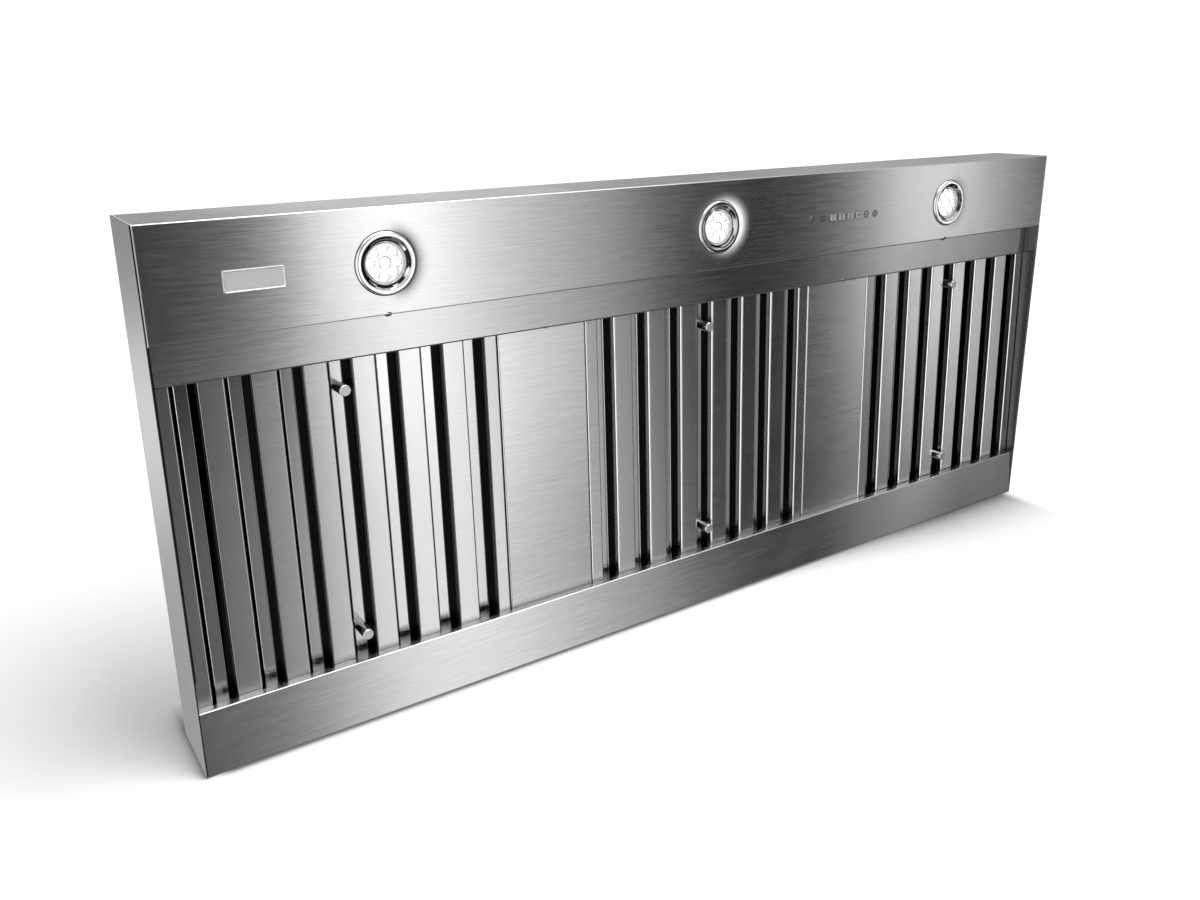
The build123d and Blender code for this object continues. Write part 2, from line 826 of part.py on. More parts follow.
with BuildPart() as control_housing:
    with BuildSketch(depth_plane(panel_inner_y, board_x, button_z)):
        Rectangle(housing_length + 2 * housing_ear, housing_width)
    extrude(amount=housing_wall)
    with BuildSketch(depth_plane(panel_inner_y, board_x, button_z)):
        Rectangle(housing_length, housing_width)
    extrude(amount=housing_depth)
    fillet(control_housing.edges().filter_by(Axis.Y), housing_wall / 2)
    with BuildSketch(depth_plane(panel_inner_y, board_x, button_z)):
        Rectangle(housing_length - 2 * housing_wall, housing_width - 2 * housing_wall)
    extrude(amount=housing_depth - housing_wall, mode=Mode.SUBTRACT)
    with BuildSketch(depth_plane(board_y + board_thickness, board_x, button_z)):
        with GridLocations(post_spread_x, post_spread_z, 2, 2):
            Circle(housing_post_diameter / 2)
    extrude(amount=housing_floor_y - board_y - board_thickness)
    with BuildSketch(depth_plane(panel_inner_y)):
        with Locations(*[(x, -button_z) for x in stud_x]):
            Circle(stud_diameter / 2 + stud_hole_gap)
    extrude(amount=housing_wall, mode=Mode.SUBTRACT)
save(control_housing.part, "control_housing")

# ---------------------------------------------------------------- deck
hanging_places = [
    (side * (half_width - hanging_inset_x), z)
    for side in (-1, 1)
    for z in (hanging_rear_z, hood_depth - hanging_front_setback)
]

with BuildPart() as top_deck:
    with BuildSketch(depth_plane(deck_inner_y, 0, hood_depth / 2)):
        Rectangle(hood_width, hood_depth)
    extrude(amount=sheet)
    with BuildSketch(depth_plane(deck_inner_y)):
        with Locations((0, -collar_z)):
            Circle(collar_bore_radius)
        with Locations((0, -collar_z)):
            with PolarLocations(rivet_circle_radius, rivet_count):
                Circle(rivet_shank_diameter / 2 + rivet_gap)
        with Locations(*deck_hole_points(hanging_places)):
            Circle(hanging_hole_diameter / 2)
        with Locations(*deck_hole_points(deck_screw_places)):
            Circle(screw_hole_radius)
        with Locations((bushing_x, -wiring_z)):
            Circle(bushing_hole_diameter / 2)
    extrude(amount=sheet, mode=Mode.SUBTRACT)
save(top_deck.part, "top_deck")

with BuildPart() as deck_screws:
    with BuildSketch(depth_plane(deck_y)):
        with Locations(*deck_hole_points(deck_screw_places)):
            Circle(screw_head_diameter / 2)
    extrude(amount=screw_head_height)
    screw_tops = deck_screws.faces().sort_by(Axis.Y)[-len(deck_screw_places):]
    chamfer(screw_tops.edges(), screw_head_chamfer)
    with BuildSketch(depth_plane(deck_y - screw_length)):
        with Locations(*deck_hole_points(deck_screw_places)):
            Circle(screw_shank_diameter / 2)
    extrude(amount=screw_length)
save(deck_screws.part, "deck_screws")

# ---------------------------------------------------------------- wiring space
divider_y = rim_y + divider_recess
divider_z = light_panel_z + sheet

with BuildPart() as electrical_divider:
    divider_points = [
        (divider_y, divider_z),
        (deck_inner_y, divider_z),
        (deck_inner_y, divider_z + deck_flange),
    ]
    extrude(fold(side_plane(-inner_length / 2), divider_points, sheet, bend), amount=inner_length)
    # both upper corners are notched round the flanges of the side walls
    with BuildSketch(side_plane(-inner_length / 2), side_plane(inner_half_width - deck_flange - flange_gap)):
        with Locations((deck_inner_y, divider_z + deck_flange / 2)):
            Rectangle(2 * (sheet + flange_gap), 2 * deck_flange)
    extrude(amount=deck_flange + flange_gap, mode=Mode.SUBTRACT)
save(electrical_divider.part, "electrical_divider")

with BuildPart() as led_driver:
    with BuildSketch(depth_plane(deck_inner_y - driver_depth, driver_x, wiring_z)):
        RectangleRounded(driver_width, driver_height, driver_edge)
    extrude(amount=driver_depth)
    chamfer(led_driver.faces().sort_by(Axis.Y)[0].edges(), driver_edge / 2)
    with BuildSketch(depth_plane(deck_inner_y - driver_ear_thickness, driver_x, wiring_z)):
        Rectangle(driver_width + 2 * driver_ear, driver_height / 2)
    extrude(amount=driver_ear_thickness)
    with BuildSketch(depth_plane(deck_inner_y - driver_ear_thickness)):
        with Locations(*deck_hole_points(driver_screws)):
            Circle(screw_hole_radius)
    extrude(amount=driver_ear_thickness, mode=Mode.SUBTRACT)
save(led_driver.part, "led_driver")

box_front_y = deck_inner_y - box_depth

with BuildPart() as junction_box:
    with BuildSketch(depth_plane(box_front_y, box_x, wiring_z)):
        Rectangle(box_width, box_height)
    extrude(amount=box_depth)
    with BuildSketch(depth_plane(box_front_y, box_x, wiring_z)):
        Rectangle(box_width - 2 * box_wall, box_height - 2 * box_wall)
    extrude(amount=box_depth - box_wall, mode=Mode.SUBTRACT)
    with BuildSketch(side_plane(box_x + box_width / 2 - box_wall)):
        with Locations((deck_inner_y - box_depth / 2, wiring_z)):
            Circle(box_knockout_diameter / 2)
    extrude(amount=box_wall, mode=Mode.SUBTRACT)
save(junction_box.part, "junction_box")

with BuildPart() as junction_box_cover:
    with BuildSketch(depth_plane(box_front_y - box_wall, box_x, wiring_z)):
        Rectangle(box_width, box_height)
    extrude(amount=box_wall)
save(junction_box_cover.part, "junction_box_cover")

with BuildPart() as cable_bushing:
    with BuildSketch(depth_plane(deck_y + bushing_flange_thickness - bushing_length, bushing_x, wiring_z)):
        Circle(bushing_hole_diameter / 2 - bushing_neck_gap)
    extrude(amount=bushing_length)
    with BuildSketch(depth_plane(deck_y, bushing_x, wiring_z)):
        Circle(bushing_flange_diameter / 2)
    extrude(amount=bushing_flange_thickness)
    with BuildSketch(depth_plane(deck_y + bushing_flange_thickness - bushing_length, bushing_x, wiring_z)):
        Circle(bushing_bore_diameter / 2)
    extrude(amount=bushing_length, mode=Mode.SUBTRACT)
    fillet(cable_bushing.faces().sort_by(Axis.Y)[-1].outer_wire().edges(), bushing_edge)
save(cable_bushing.part, "cable_bushing")

# ---------------------------------------------------------------- duct collar and damper
collar_plane = Plane(origin=(0, 0, collar_z), x_dir=(1, 0, 0), z_dir=(0, 0, 1))
collar_axis = depth_axis(0, collar_z)
seat_y = flap_y - flap_sheet / 2 - flap_seat_gap - flap_seat_thickness
rod_length = 2 * (collar_radius - rod_end_recess)

with BuildPart() as duct_collar:
    collar_points = [
        (collar_radius + collar_flange, deck_y),
        (collar_bore_radius, deck_y),
        (collar_bore_radius, deck_y + collar_height),
    ]
    revolve(fold(collar_plane, collar_points, collar_sheet, bend, Side.RIGHT), axis=collar_axis)
    with BuildSketch(Plane.XY.offset(collar_z - collar_radius)):
        with Locations((0, flap_y)):
            Circle(rod_diameter / 2 + rod_running_gap)
    extrude(amount=2 * collar_radius, mode=Mode.SUBTRACT)
    with BuildSketch(depth_plane(deck_y, 0, collar_z)):
        with PolarLocations(rivet_circle_radius, rivet_count):
            Circle(rivet_shank_diameter / 2 + rivet_gap)
    extrude(amount=collar_sheet, mode=Mode.SUBTRACT)
save(duct_collar.part, "duct_collar")

# the two half rings on which the closed flaps rest, parted by the rod
with BuildPart() as flap_stops:
    with BuildSketch(depth_plane(seat_y, 0, collar_z)):
        Circle(collar_bore_radius)
        Circle(collar_bore_radius - flap_seat_width, mode=Mode.SUBTRACT)
        Rectangle(rod_diameter + 2 * flap_seat_gap, 2 * collar_radius, mode=Mode.SUBTRACT)
    extrude(amount=flap_seat_thickness)
save(flap_stops.part, "flap_stops")

with BuildPart() as collar_rivets:
    tail_y = deck_inner_y - rivet_tail_height
    with BuildSketch(depth_plane(deck_y + collar_sheet, 0, collar_z)):
        with PolarLocations(rivet_circle_radius, rivet_count):
            Circle(rivet_head_diameter / 2)
    extrude(amount=rivet_head_height)
    fillet(collar_rivets.faces().sort_by(Axis.Y)[-rivet_count:].edges(), rivet_head_round)
    with BuildSketch(depth_plane(tail_y, 0, collar_z)):
        with PolarLocations(rivet_circle_radius, rivet_count):
            Circle(rivet_shank_diameter / 2)
    extrude(amount=deck_y + collar_sheet - tail_y)
    with BuildSketch(depth_plane(tail_y, 0, collar_z)):
        with PolarLocations(rivet_circle_radius, rivet_count):
            Circle(rivet_tail_diameter / 2)
    extrude(amount=rivet_tail_height)
save(collar_rivets.part, "collar_rivets")

with BuildPart() as damper_rod:
    with BuildSketch(Plane.XY.offset(collar_z - rod_length / 2)):
        with Locations((0, flap_y)):
            Circle(rod_diameter / 2)
    extrude(amount=rod_length)
save(damper_rod.part, "damper_rod")


def damper_flap(side):
    """A half-round flap, side -1 or 1, with two hinge knuckles on the rod."""
    radius = collar_bore_radius - flap_gap
    flap_plane = depth_plane(flap_y - flap_sheet / 2, 0, collar_z)
    knuckle_z = [
        collar_z + station * knuckle_spacing / 2 + side * (knuckle_length + knuckle_gap) / 2
        for station in (-1, 1)
    ]
    with BuildPart() as flap:
        with BuildSketch(flap_plane):
            Circle(radius)
            with Locations((side * (flap_hinge_gap + radius), 0)):
                Rectangle(2 * radius, 2 * radius, mode=Mode.INTERSECT)
            with Locations(*[(side * flap_hinge_gap, collar_z - z) for z in knuckle_z]):
                Rectangle(knuckle_diameter, knuckle_length)
        extrude(amount=flap_sheet)
        for z in knuckle_z:
            with BuildSketch(Plane.XY.offset(z - knuckle_length / 2)):
                with Locations((0, flap_y)):
                    Circle(knuckle_diameter / 2)
            extrude(amount=knuckle_length)
        for z in knuckle_z:
            with BuildSketch(Plane.XY.offset(z - knuckle_length / 2)):
                with Locations((0, flap_y)):
                    Circle(rod_diameter / 2 + rod_running_gap)
            extrude(amount=knuckle_length, mode=Mode.SUBTRACT)
    return flap.part


save(damper_flap(-1), "damper_flap_left")
save(damper_flap(1), "damper_flap_right")
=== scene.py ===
"""Looks of the range hood insert: finishes, small fittings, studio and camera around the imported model.

All sizes are in metres in the row's frame: X runs along the hood, Z up, and the underside of the
installed hood looks along -Y.
"""

import json
import logging
import math
from dataclasses import dataclass, field
from enum import Enum

import bmesh
import bpy
from mathutils import Euler, Matrix, Vector

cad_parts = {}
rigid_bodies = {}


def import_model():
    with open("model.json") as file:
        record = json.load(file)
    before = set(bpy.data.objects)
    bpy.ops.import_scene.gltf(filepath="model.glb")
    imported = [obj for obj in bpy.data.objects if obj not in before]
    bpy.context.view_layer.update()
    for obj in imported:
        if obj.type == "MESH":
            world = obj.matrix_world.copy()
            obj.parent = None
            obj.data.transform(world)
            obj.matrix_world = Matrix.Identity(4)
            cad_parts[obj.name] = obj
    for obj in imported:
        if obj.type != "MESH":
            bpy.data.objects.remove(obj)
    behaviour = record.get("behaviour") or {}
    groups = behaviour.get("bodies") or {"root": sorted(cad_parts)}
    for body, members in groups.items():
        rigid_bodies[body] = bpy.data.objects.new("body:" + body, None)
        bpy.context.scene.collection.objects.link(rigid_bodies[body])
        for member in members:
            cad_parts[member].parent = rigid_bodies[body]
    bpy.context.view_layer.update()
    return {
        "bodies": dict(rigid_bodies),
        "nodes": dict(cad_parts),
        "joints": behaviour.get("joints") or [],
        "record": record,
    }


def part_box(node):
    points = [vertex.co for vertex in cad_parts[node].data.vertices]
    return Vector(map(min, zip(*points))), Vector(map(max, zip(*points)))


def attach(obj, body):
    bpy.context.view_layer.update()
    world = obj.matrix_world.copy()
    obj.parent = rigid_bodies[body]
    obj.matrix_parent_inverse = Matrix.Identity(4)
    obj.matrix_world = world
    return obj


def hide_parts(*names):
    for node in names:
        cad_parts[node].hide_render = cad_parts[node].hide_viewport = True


LOG = logging.getLogger("range_hood_insert")
MM = 0.001
LAMPS = (1, 2, 3)
FILTERS = (1, 2, 3)


# ---------------------------------------------------------------------------
# Node helpers
# ---------------------------------------------------------------------------

class Grain(Enum):
    """Directions in which a sheet was brushed or a piece was turned."""

    ALONG_X = (1.0, 0.0, 0.0)
    ALONG_Y = (0.0, 1.0, 0.0)
    ALONG_Z = (0.0, 0.0, 1.0)


class Graph:
    """A node tree with short calls for adding and joining nodes."""

    def __init__(self, tree: bpy.types.NodeTree) -> None:
        """Keeps the tree that the other calls write to."""
        self.tree = tree

    def add(self, kind: str, **values: object) -> bpy.types.Node:
        """Adds one node and sets its plain attributes.

        Args:
            kind: The node's type name.
            values: Attribute names and what they are set to.

        Returns:
            The new node.
        """
        node = self.tree.nodes.new(kind)
        for name, value in values.items():
            setattr(node, name, value)
        return node

    def feed(self, socket: bpy.types.NodeSocket, value: object) -> None:
        """Links an output to a socket, or sets the socket where the value is plain."""
        if isinstance(value, bpy.types.NodeSocket):
            self.tree.links.new(value, socket)
        else:
            socket.default_value = value

    def math(self, operation: str, *values: object, clamp: bool = False) -> bpy.types.NodeSocket:
        """Adds a Math node.

        Args:
            operation: The node's operation.
            values: What its inputs take, as numbers or outputs.
            clamp: Whether the result is held between 0 and 1.

        Returns:
            The node's output.
        """
        node = self.add("ShaderNodeMath", operation=operation, use_clamp=clamp)
        for socket, value in zip(node.inputs, values):
            self.feed(socket, value)
        return node.outputs[0]

    def vector(self, operation: str, *values: object) -> bpy.types.NodeSocket:
        """Adds a Vector Math node and returns its vector output."""
        node = self.add("ShaderNodeVectorMath", operation=operation)
        for socket, value in zip(node.inputs, values):
            self.feed(socket, value)
        return node.outputs["Vector"]

    def ramp(self, value: object, low: float, high: float, out_low: float, out_high: float,
             smooth: bool = False) -> bpy.types.NodeSocket:
        """Adds a clamped Map Range node.

        Args:
            value: What is mapped.
            low: Where the input range starts.
            high: Where the input range ends.
            out_low: What the start gives.
            out_high: What the end gives.
            smooth: Whether the change eases in and out.

        Returns:
            The mapped value.
        """
        kind = "SMOOTHSTEP" if smooth else "LINEAR"
        node = self.add("ShaderNodeMapRange", interpolation_type=kind)
        self.feed(node.inputs["Value"], value)
        for name, number in (("From Min", low), ("From Max", high), ("To Min", out_low), ("To Max", out_high)):
            self.feed(node.inputs[name], number)
        return node.outputs["Result"]

    def mix(self, factor: object, first: object, second: object) -> bpy.types.NodeSocket:
        """Mixes two colours and returns the colour."""
        node = self.add("ShaderNodeMix", data_type="RGBA")
        self.feed(node.inputs["Factor"], factor)
        self.feed(node.inputs[6], first)
        self.feed(node.inputs[7], second)
        return node.outputs[2]

    def place(self, centre: tuple[float, float, float] = (0.0, 0.0, 0.0)) -> bpy.types.NodeSocket:
        """Gives the point on the piece, measured from a centre."""
        coordinate = self.add("ShaderNodeTexCoord").outputs["Object"]
        return self.vector("SUBTRACT", coordinate, centre)

    def noise(self, vector: object, scale: float, detail: float = 2.0) -> bpy.types.NodeSocket:
        """Adds a noise texture and returns its value, about 0.5 in the mean."""
        node = self.add("ShaderNodeTexNoise")
        self.feed(node.inputs["Vector"], vector)
        self.feed(node.inputs["Scale"], scale)
        self.feed(node.inputs["Detail"], detail)
        return node.outputs["Fac"]


def grey(value: float, warmth: float = 0.0) -> tuple[float, float, float, float]:
    """Gives a neutral colour, a little warm above 0 and cool below."""
    return (value * (1.0 + warmth), value, value * (1.0 - warmth), 1.0)


class SharedEffects:
    """Node groups that several finishes use: brushed streaks, smudges, zinc flower, turning marks, and masks for the
    painted lamp light and shade.
    """

    def __init__(self) -> None:
        """Makes the groups once."""
        self.streaks = self._streaks()
        self.smudge = self._smudge()
        self.spangle = self._spangle()
        self.turned = self._turned()
        self.halo = self._halo()

    @staticmethod
    def _start(name: str, inputs: list[tuple[str, str]], outputs: list[tuple[str, str]]
               ) -> tuple[bpy.types.NodeTree, Graph, bpy.types.Node, bpy.types.Node]:
        """Opens a node group with its sockets.

        Args:
            name: The group's name.
            inputs: Names and socket types going in.
            outputs: Names and socket types coming out.

        Returns:
            The tree, its graph helper, and its input and output nodes.
        """
        tree = bpy.data.node_groups.new(name, "ShaderNodeTree")
        for way, sockets in (("INPUT", inputs), ("OUTPUT", outputs)):
            for label, kind in sockets:
                tree.interface.new_socket(name=label, in_out=way, socket_type=kind)
        graph = Graph(tree)
        return tree, graph, graph.add("NodeGroupInput"), graph.add("NodeGroupOutput")

    def _streaks(self) -> bpy.types.NodeTree:
        """Brushed streaks: a mask about 0.5 and a height, from a point already stretched along the grain."""
        tree, graph, source, out = self._start(
            "brushed_streaks", [("Point", "NodeSocketVector")],
            [("Mask", "NodeSocketFloat"), ("Height", "NodeSocketFloat")])
        point = source.outputs["Point"]
        coarse = graph.noise(point, 1.0, 3.0)
        fine = graph.noise(graph.vector("MULTIPLY", point, (2.2, 2.2, 2.2)), 1.0, 1.0)
        mask = graph.math("ADD", graph.math("MULTIPLY", coarse, 0.6), graph.math("MULTIPLY", fine, 0.4))
        graph.feed(out.inputs["Mask"], graph.ramp(mask, 0.3, 0.7, 0.0, 1.0))
        graph.feed(out.inputs["Height"], mask)
        return tree

    def _smudge(self) -> bpy.types.NodeTree:
        """Soft handling marks: a mask from 0 to 1 that is 0 over most of the sheet."""
        tree, graph, source, out = self._start(
            "handling_smudges", [("Point", "NodeSocketVector")], [("Mask", "NodeSocketFloat")])
        cloud = graph.noise(source.outputs["Point"], 9.0, 4.0)
        grain = graph.noise(source.outputs["Point"], 60.0, 2.0)
        soft = graph.math("ADD", graph.math("MULTIPLY", cloud, 0.8), graph.math("MULTIPLY", grain, 0.2))
        graph.feed(out.inputs["Mask"], graph.ramp(soft, 0.45, 0.72, 0.0, 1.0, smooth=True))
        return tree

    def _spangle(self) -> bpy.types.NodeTree:
        """Zinc flower of galvanised sheet: a random value for each crystal and a soft edge."""
        tree, graph, source, out = self._start(
            "zinc_flower", [("Point", "NodeSocketVector")],
            [("Crystal", "NodeSocketFloat"), ("Edge", "NodeSocketFloat")])
        bent = graph.add("ShaderNodeTexNoise")
        graph.feed(bent.inputs["Vector"], source.outputs["Point"])
        graph.feed(bent.inputs["Scale"], 160.0)
        warped = graph.vector("MULTIPLY_ADD", bent.outputs["Color"], (0.004, 0.004, 0.004), source.outputs["Point"])
        cells = graph.add("ShaderNodeTexVoronoi")
        graph.feed(cells.inputs["Vector"], warped)
        graph.feed(cells.inputs["Scale"], 95.0)
        split = graph.add("ShaderNodeSeparateColor")
        graph.feed(split.inputs[0], cells.outputs["Color"])
        graph.feed(out.inputs["Crystal"], split.outputs[0])
        graph.feed(out.inputs["Edge"], graph.ramp(cells.outputs["Distance"], 0.2, 0.9, 0.0, 1.0))
        return tree

    def _halo(self) -> bpy.types.NodeTree:
        """Masks for the light and shade painted round a lamp in the XZ plane: a fading mask, its right-hand half, and a
        crescent at its right.
        """
        tree, graph, source, out = self._start(
            "painted_lamp_halo", [("Point", "NodeSocketVector")],
            [("Mask", "NodeSocketFloat"), ("Right", "NodeSocketFloat"), ("Crescent", "NodeSocketFloat")])
        length = graph.add("ShaderNodeVectorMath", operation="LENGTH")
        graph.feed(length.inputs[0], graph.vector("MULTIPLY", source.outputs["Point"], (1.0, 0.0, 1.0)))
        radius = length.outputs["Value"]
        near = graph.ramp(radius, 0.0315, 0.052, 1.0, 0.0)
        split = graph.add("ShaderNodeSeparateXYZ")
        graph.feed(split.inputs[0], source.outputs["Point"])
        aside = graph.math("DIVIDE", split.outputs["X"], graph.math("MAXIMUM", radius, 0.001))
        graph.feed(out.inputs["Mask"], graph.math("POWER", near, 2.5))
        graph.feed(out.inputs["Right"], graph.ramp(aside, -0.1, 0.75, 0.0, 1.0, smooth=True))
        offset = graph.add("ShaderNodeVectorMath", operation="LENGTH")
        flat = graph.vector("MULTIPLY", source.outputs["Point"], (1.0, 0.0, 1.0))
        graph.feed(offset.inputs[0], graph.vector("SUBTRACT", flat, (0.01, 0.0, 0.001)))
        beside = graph.ramp(offset.outputs["Value"], 0.0255, 0.045, 1.0, 0.0)
        graph.feed(out.inputs["Crescent"], graph.math("POWER", beside, 2.8))
        return tree

    def _turned(self) -> bpy.types.NodeTree:
        """Turning marks: fine rings around the Y axis of the point that is fed in."""
        tree, graph, source, out = self._start(
            "turning_marks", [("Point", "NodeSocketVector")], [("Rings", "NodeSocketFloat")])
        flat = graph.vector("MULTIPLY", source.outputs["Point"], (1.0, 0.0, 1.0))
        length = graph.add("ShaderNodeVectorMath", operation="LENGTH")
        graph.feed(length.inputs[0], flat)
        wave = graph.math("SINE", graph.math("MULTIPLY", length.outputs["Value"], 9000.0))
        wobble = graph.noise(source.outputs["Point"], 900.0, 1.0)
        graph.feed(out.inputs["Rings"], graph.math("ADD", graph.math("MULTIPLY", wave, 0.3), wobble))
        return tree


# ---------------------------------------------------------------------------
# Finishes
# ---------------------------------------------------------------------------

@dataclass(frozen=True)
class Finish:
    """What every finish has: a name and the shared effects it draws on."""

    name: str

    def material(self) -> tuple[bpy.types.Material, Graph, bpy.types.Node]:
        """Starts the material.

        Returns:
            The material, its graph helper and its Principled shader.
        """
        material = bpy.data.materials.new(self.name)
        material.use_nodes = True
        graph = Graph(material.node_tree)
        shader = next(n for n in material.node_tree.nodes if n.type == "BSDF_PRINCIPLED")
        return material, graph, shader

    @staticmethod
    def effect(graph: Graph, group: bpy.types.NodeTree, point: object) -> bpy.types.Node:
        """Adds a shared effect and feeds its point.

        Args:
            graph: The material's graph.
            group: The shared node group.
            point: What its Point input takes.

        Returns:
            The group node.
        """
        node = graph.add("ShaderNodeGroup", node_tree=group)
        graph.feed(node.inputs["Point"], point)
        return node

    @staticmethod
    def bump(graph: Graph, shader: bpy.types.Node, height: object, strength: float, distance: float) -> None:
        """Feeds the shader's normal with a bump of that height."""
        node = graph.add("ShaderNodeBump")
        graph.feed(node.inputs["Strength"], strength)
        graph.feed(node.inputs["Distance"], distance)
        graph.feed(node.inputs["Height"], height)
        graph.feed(shader.inputs["Normal"], node.outputs["Normal"])


@dataclass(frozen=True)
class Shade:
    """Painted shade on a sheet's faces that look one way: rims, bends, sides; a tone above 1 paints a highlight."""

    way: tuple[float, float, float]
    start: float
    full: float
    tone: float


@dataclass(frozen=True)
class Drift:
    """Painted light and shade: a slow change of a sheet's brightness along one axis, from first to last between start
    and end.
    """

    axis: str
    start: float
    end: float
    first: float
    last: float


@dataclass(frozen=True)
class BrushedSteel(Finish):
    """Brushed stainless sheet, whose reflections smear across its grain."""

    tone: float = 0.6
    roughness: float = 0.21
    grain: Grain = Grain.ALONG_X
    smear: float = 0.9
    contrast: float = 0.085
    relief: float = 0.0018
    length: float = 0.055
    width: float = 0.0018
    smudges: float = 0.03
    shades: tuple[Shade, ...] = ()
    drifts: tuple[Drift, ...] = ()

    def build(self, effects: SharedEffects) -> bpy.types.Material:
        """Makes the material.

        Args:
            effects: The shared node groups.

        Returns:
            The finished material.
        """
        material, graph, shader = self.material()
        along = 1.0 / self.length
        across = 1.0 / self.width
        stretch = tuple(along if part else across for part in self.grain.value)
        point = graph.place()
        streaks = self.effect(graph, effects.streaks, graph.vector("MULTIPLY", point, stretch))
        smudge = self.effect(graph, effects.smudge, point)
        dark = grey(self.tone * (1.0 - self.contrast))
        light = grey(self.tone * (1.0 + self.contrast), -0.004)
        colour = graph.mix(streaks.outputs["Mask"], dark, light)
        # Painted light and shade: brightness changes along the sheet, then darkening or brightening by the way each
        # face looks.
        for drift in self.drifts:
            colour = self.drifted(graph, drift, colour)
        for shade in self.shades:
            colour = graph.mix(self.facing(graph, shade), colour, grey(self.tone * shade.tone))
        graph.feed(shader.inputs["Base Color"], colour)
        rough = graph.ramp(streaks.outputs["Mask"], 0.0, 1.0, self.roughness * 0.88, self.roughness * 1.12)
        marks = graph.math("MULTIPLY", smudge.outputs["Mask"], self.smudges)
        graph.feed(shader.inputs["Roughness"], graph.math("ADD", rough, marks))
        self.bump(graph, shader, streaks.outputs["Height"], self.relief, 0.0002)
        shader.inputs["Metallic"].default_value = 1.0
        shader.inputs["Anisotropic"].default_value = self.smear
        self.across_grain(graph, shader)
        return material

    @staticmethod
    def drifted(graph: Graph, drift: Drift, colour: bpy.types.NodeSocket) -> bpy.types.NodeSocket:
        """Gives the colour with a drift's painted change of brightness along the sheet."""
        split = graph.add("ShaderNodeSeparateXYZ")
        graph.feed(split.inputs[0], graph.place())
        scaled = graph.add("ShaderNodeVectorMath", operation="SCALE")
        graph.feed(scaled.inputs[0], colour)
        graph.feed(scaled.inputs["Scale"], graph.ramp(split.outputs[drift.axis], drift.start, drift.end,
                                                      drift.first, drift.last, smooth=True))
        return scaled.outputs["Vector"]

    @staticmethod
    def facing(graph: Graph, shade: Shade) -> bpy.types.NodeSocket:
        """Gives 1 where the sheet faces a shade's way and 0 where it doesn't."""
        dot = graph.add("ShaderNodeVectorMath", operation="DOT_PRODUCT")
        graph.feed(dot.inputs[0], graph.add("ShaderNodeNewGeometry").outputs["Normal"])
        graph.feed(dot.inputs[1], shade.way)
        return graph.ramp(dot.outputs["Value"], shade.start, shade.full, 0.0, 1.0, smooth=True)

    def across_grain(self, graph: Graph, shader: bpy.types.Node) -> None:
        """Turns the smear across the grain, whichever way the sheet is folded.

        Args:
            graph: The material's graph.
            shader: The Principled shader whose tangent is fed.
        """
        lean = (0.013, 0.017, 0.011)
        direction = tuple(part + small for part, small in zip(self.grain.value, lean))
        normal = graph.add("ShaderNodeNewGeometry").outputs["Normal"]
        graph.feed(shader.inputs["Tangent"], graph.vector("CROSS_PRODUCT", normal, direction))


@dataclass(frozen=True)
class LampPanelSteel(BrushedSteel):
    """Brushed sheet of the light panel, with the lamps' light and shade painted round each opening.

    In the bright parts of the sheet a soft shade is painted to the right of a lamp's bezel; in the dark middle a
    glow is painted there instead.
    """

    lamps: tuple[tuple[float, float], ...] = ()
    # glow: strength of the painted glow; shade: depth of the painted shade
    glow: float = 1.4
    shade: float = 1.2
    edge: float = 0.6627

    def build(self, effects: SharedEffects) -> bpy.types.Material:
        """Makes the brushed sheet and adds the painted glow, the painted shade and the painted highlights along its
        ends.

        Args:
            effects: The shared node groups.

        Returns:
            The finished material.
        """
        material = super().build(effects)
        graph = Graph(material.node_tree)
        shader = next(n for n in material.node_tree.nodes if n.type == "BSDF_PRINCIPLED")
        split = graph.add("ShaderNodeSeparateXYZ")
        graph.feed(split.inputs[0], graph.place())
        along = graph.math("ABSOLUTE", split.outputs["X"])
        # Painted highlight: a faint glow along both ends of the sheet.
        lit: object = graph.math("MULTIPLY", graph.ramp(along, self.edge - 0.0002, self.edge, 0.0, 1.0), 0.32)
        for index, (x, z) in enumerate(self.lamps):
            ring = self.effect(graph, effects.halo, graph.place((x, 0.0, z)))
            right = graph.math("MULTIPLY", ring.outputs["Mask"], ring.outputs["Right"])
            if index != 1:
                # Painted shade: the base colour darkens to the right of lamps 1 and 3.
                colour = shader.inputs["Base Color"].links[0].from_socket
                dark = graph.math("MULTIPLY", right, self.shade * (1.0 if index == 0 else 0.55), clamp=True)
                graph.feed(shader.inputs["Base Color"], graph.mix(dark, colour, grey(0.06)))
            else:
                # Painted glow: a crescent beside lamp 2's bezel and a faint ring round it.
                soft = graph.math("MULTIPLY", ring.outputs["Mask"], 0.03)
                beside = ring.outputs["Crescent"]
                lit = graph.math("ADD", lit, graph.math("MULTIPLY_ADD", beside, 0.9, soft))
        graph.feed(shader.inputs["Emission Color"], graph.mix(lit, grey(0.0), grey(1.0)))
        shader.inputs["Emission Strength"].default_value = self.glow
        return material


@dataclass(frozen=True)
class SatinMetal(Finish):
    """Plain metal with a soft even grain: cast, drawn, spun or plated."""

    tone: float = 0.6
    warmth: float = 0.0
    roughness: float = 0.3
    grain_scale: float = 900.0
    contrast: float = 0.08
    relief: float = 0.08

    def build(self, effects: SharedEffects) -> bpy.types.Material:
        """Makes the material from the shared effects and returns it."""
        material, graph, shader = self.material()
        point = graph.place()
        speck = graph.noise(point, self.grain_scale, 3.0)
        smudge = self.effect(graph, effects.smudge, point)
        dark = grey(self.tone * (1.0 - self.contrast), self.warmth)
        light = grey(self.tone * (1.0 + self.contrast), self.warmth)
        graph.feed(shader.inputs["Base Color"], graph.mix(speck, dark, light))
        rough = graph.ramp(speck, 0.3, 0.7, self.roughness * 0.85, self.roughness * 1.15)
        graph.feed(shader.inputs["Roughness"], graph.math("MULTIPLY_ADD", smudge.outputs["Mask"], 0.05, rough))
        self.bump(graph, shader, speck, self.relief, 0.0001)
        shader.inputs["Metallic"].default_value = 1.0
        return material


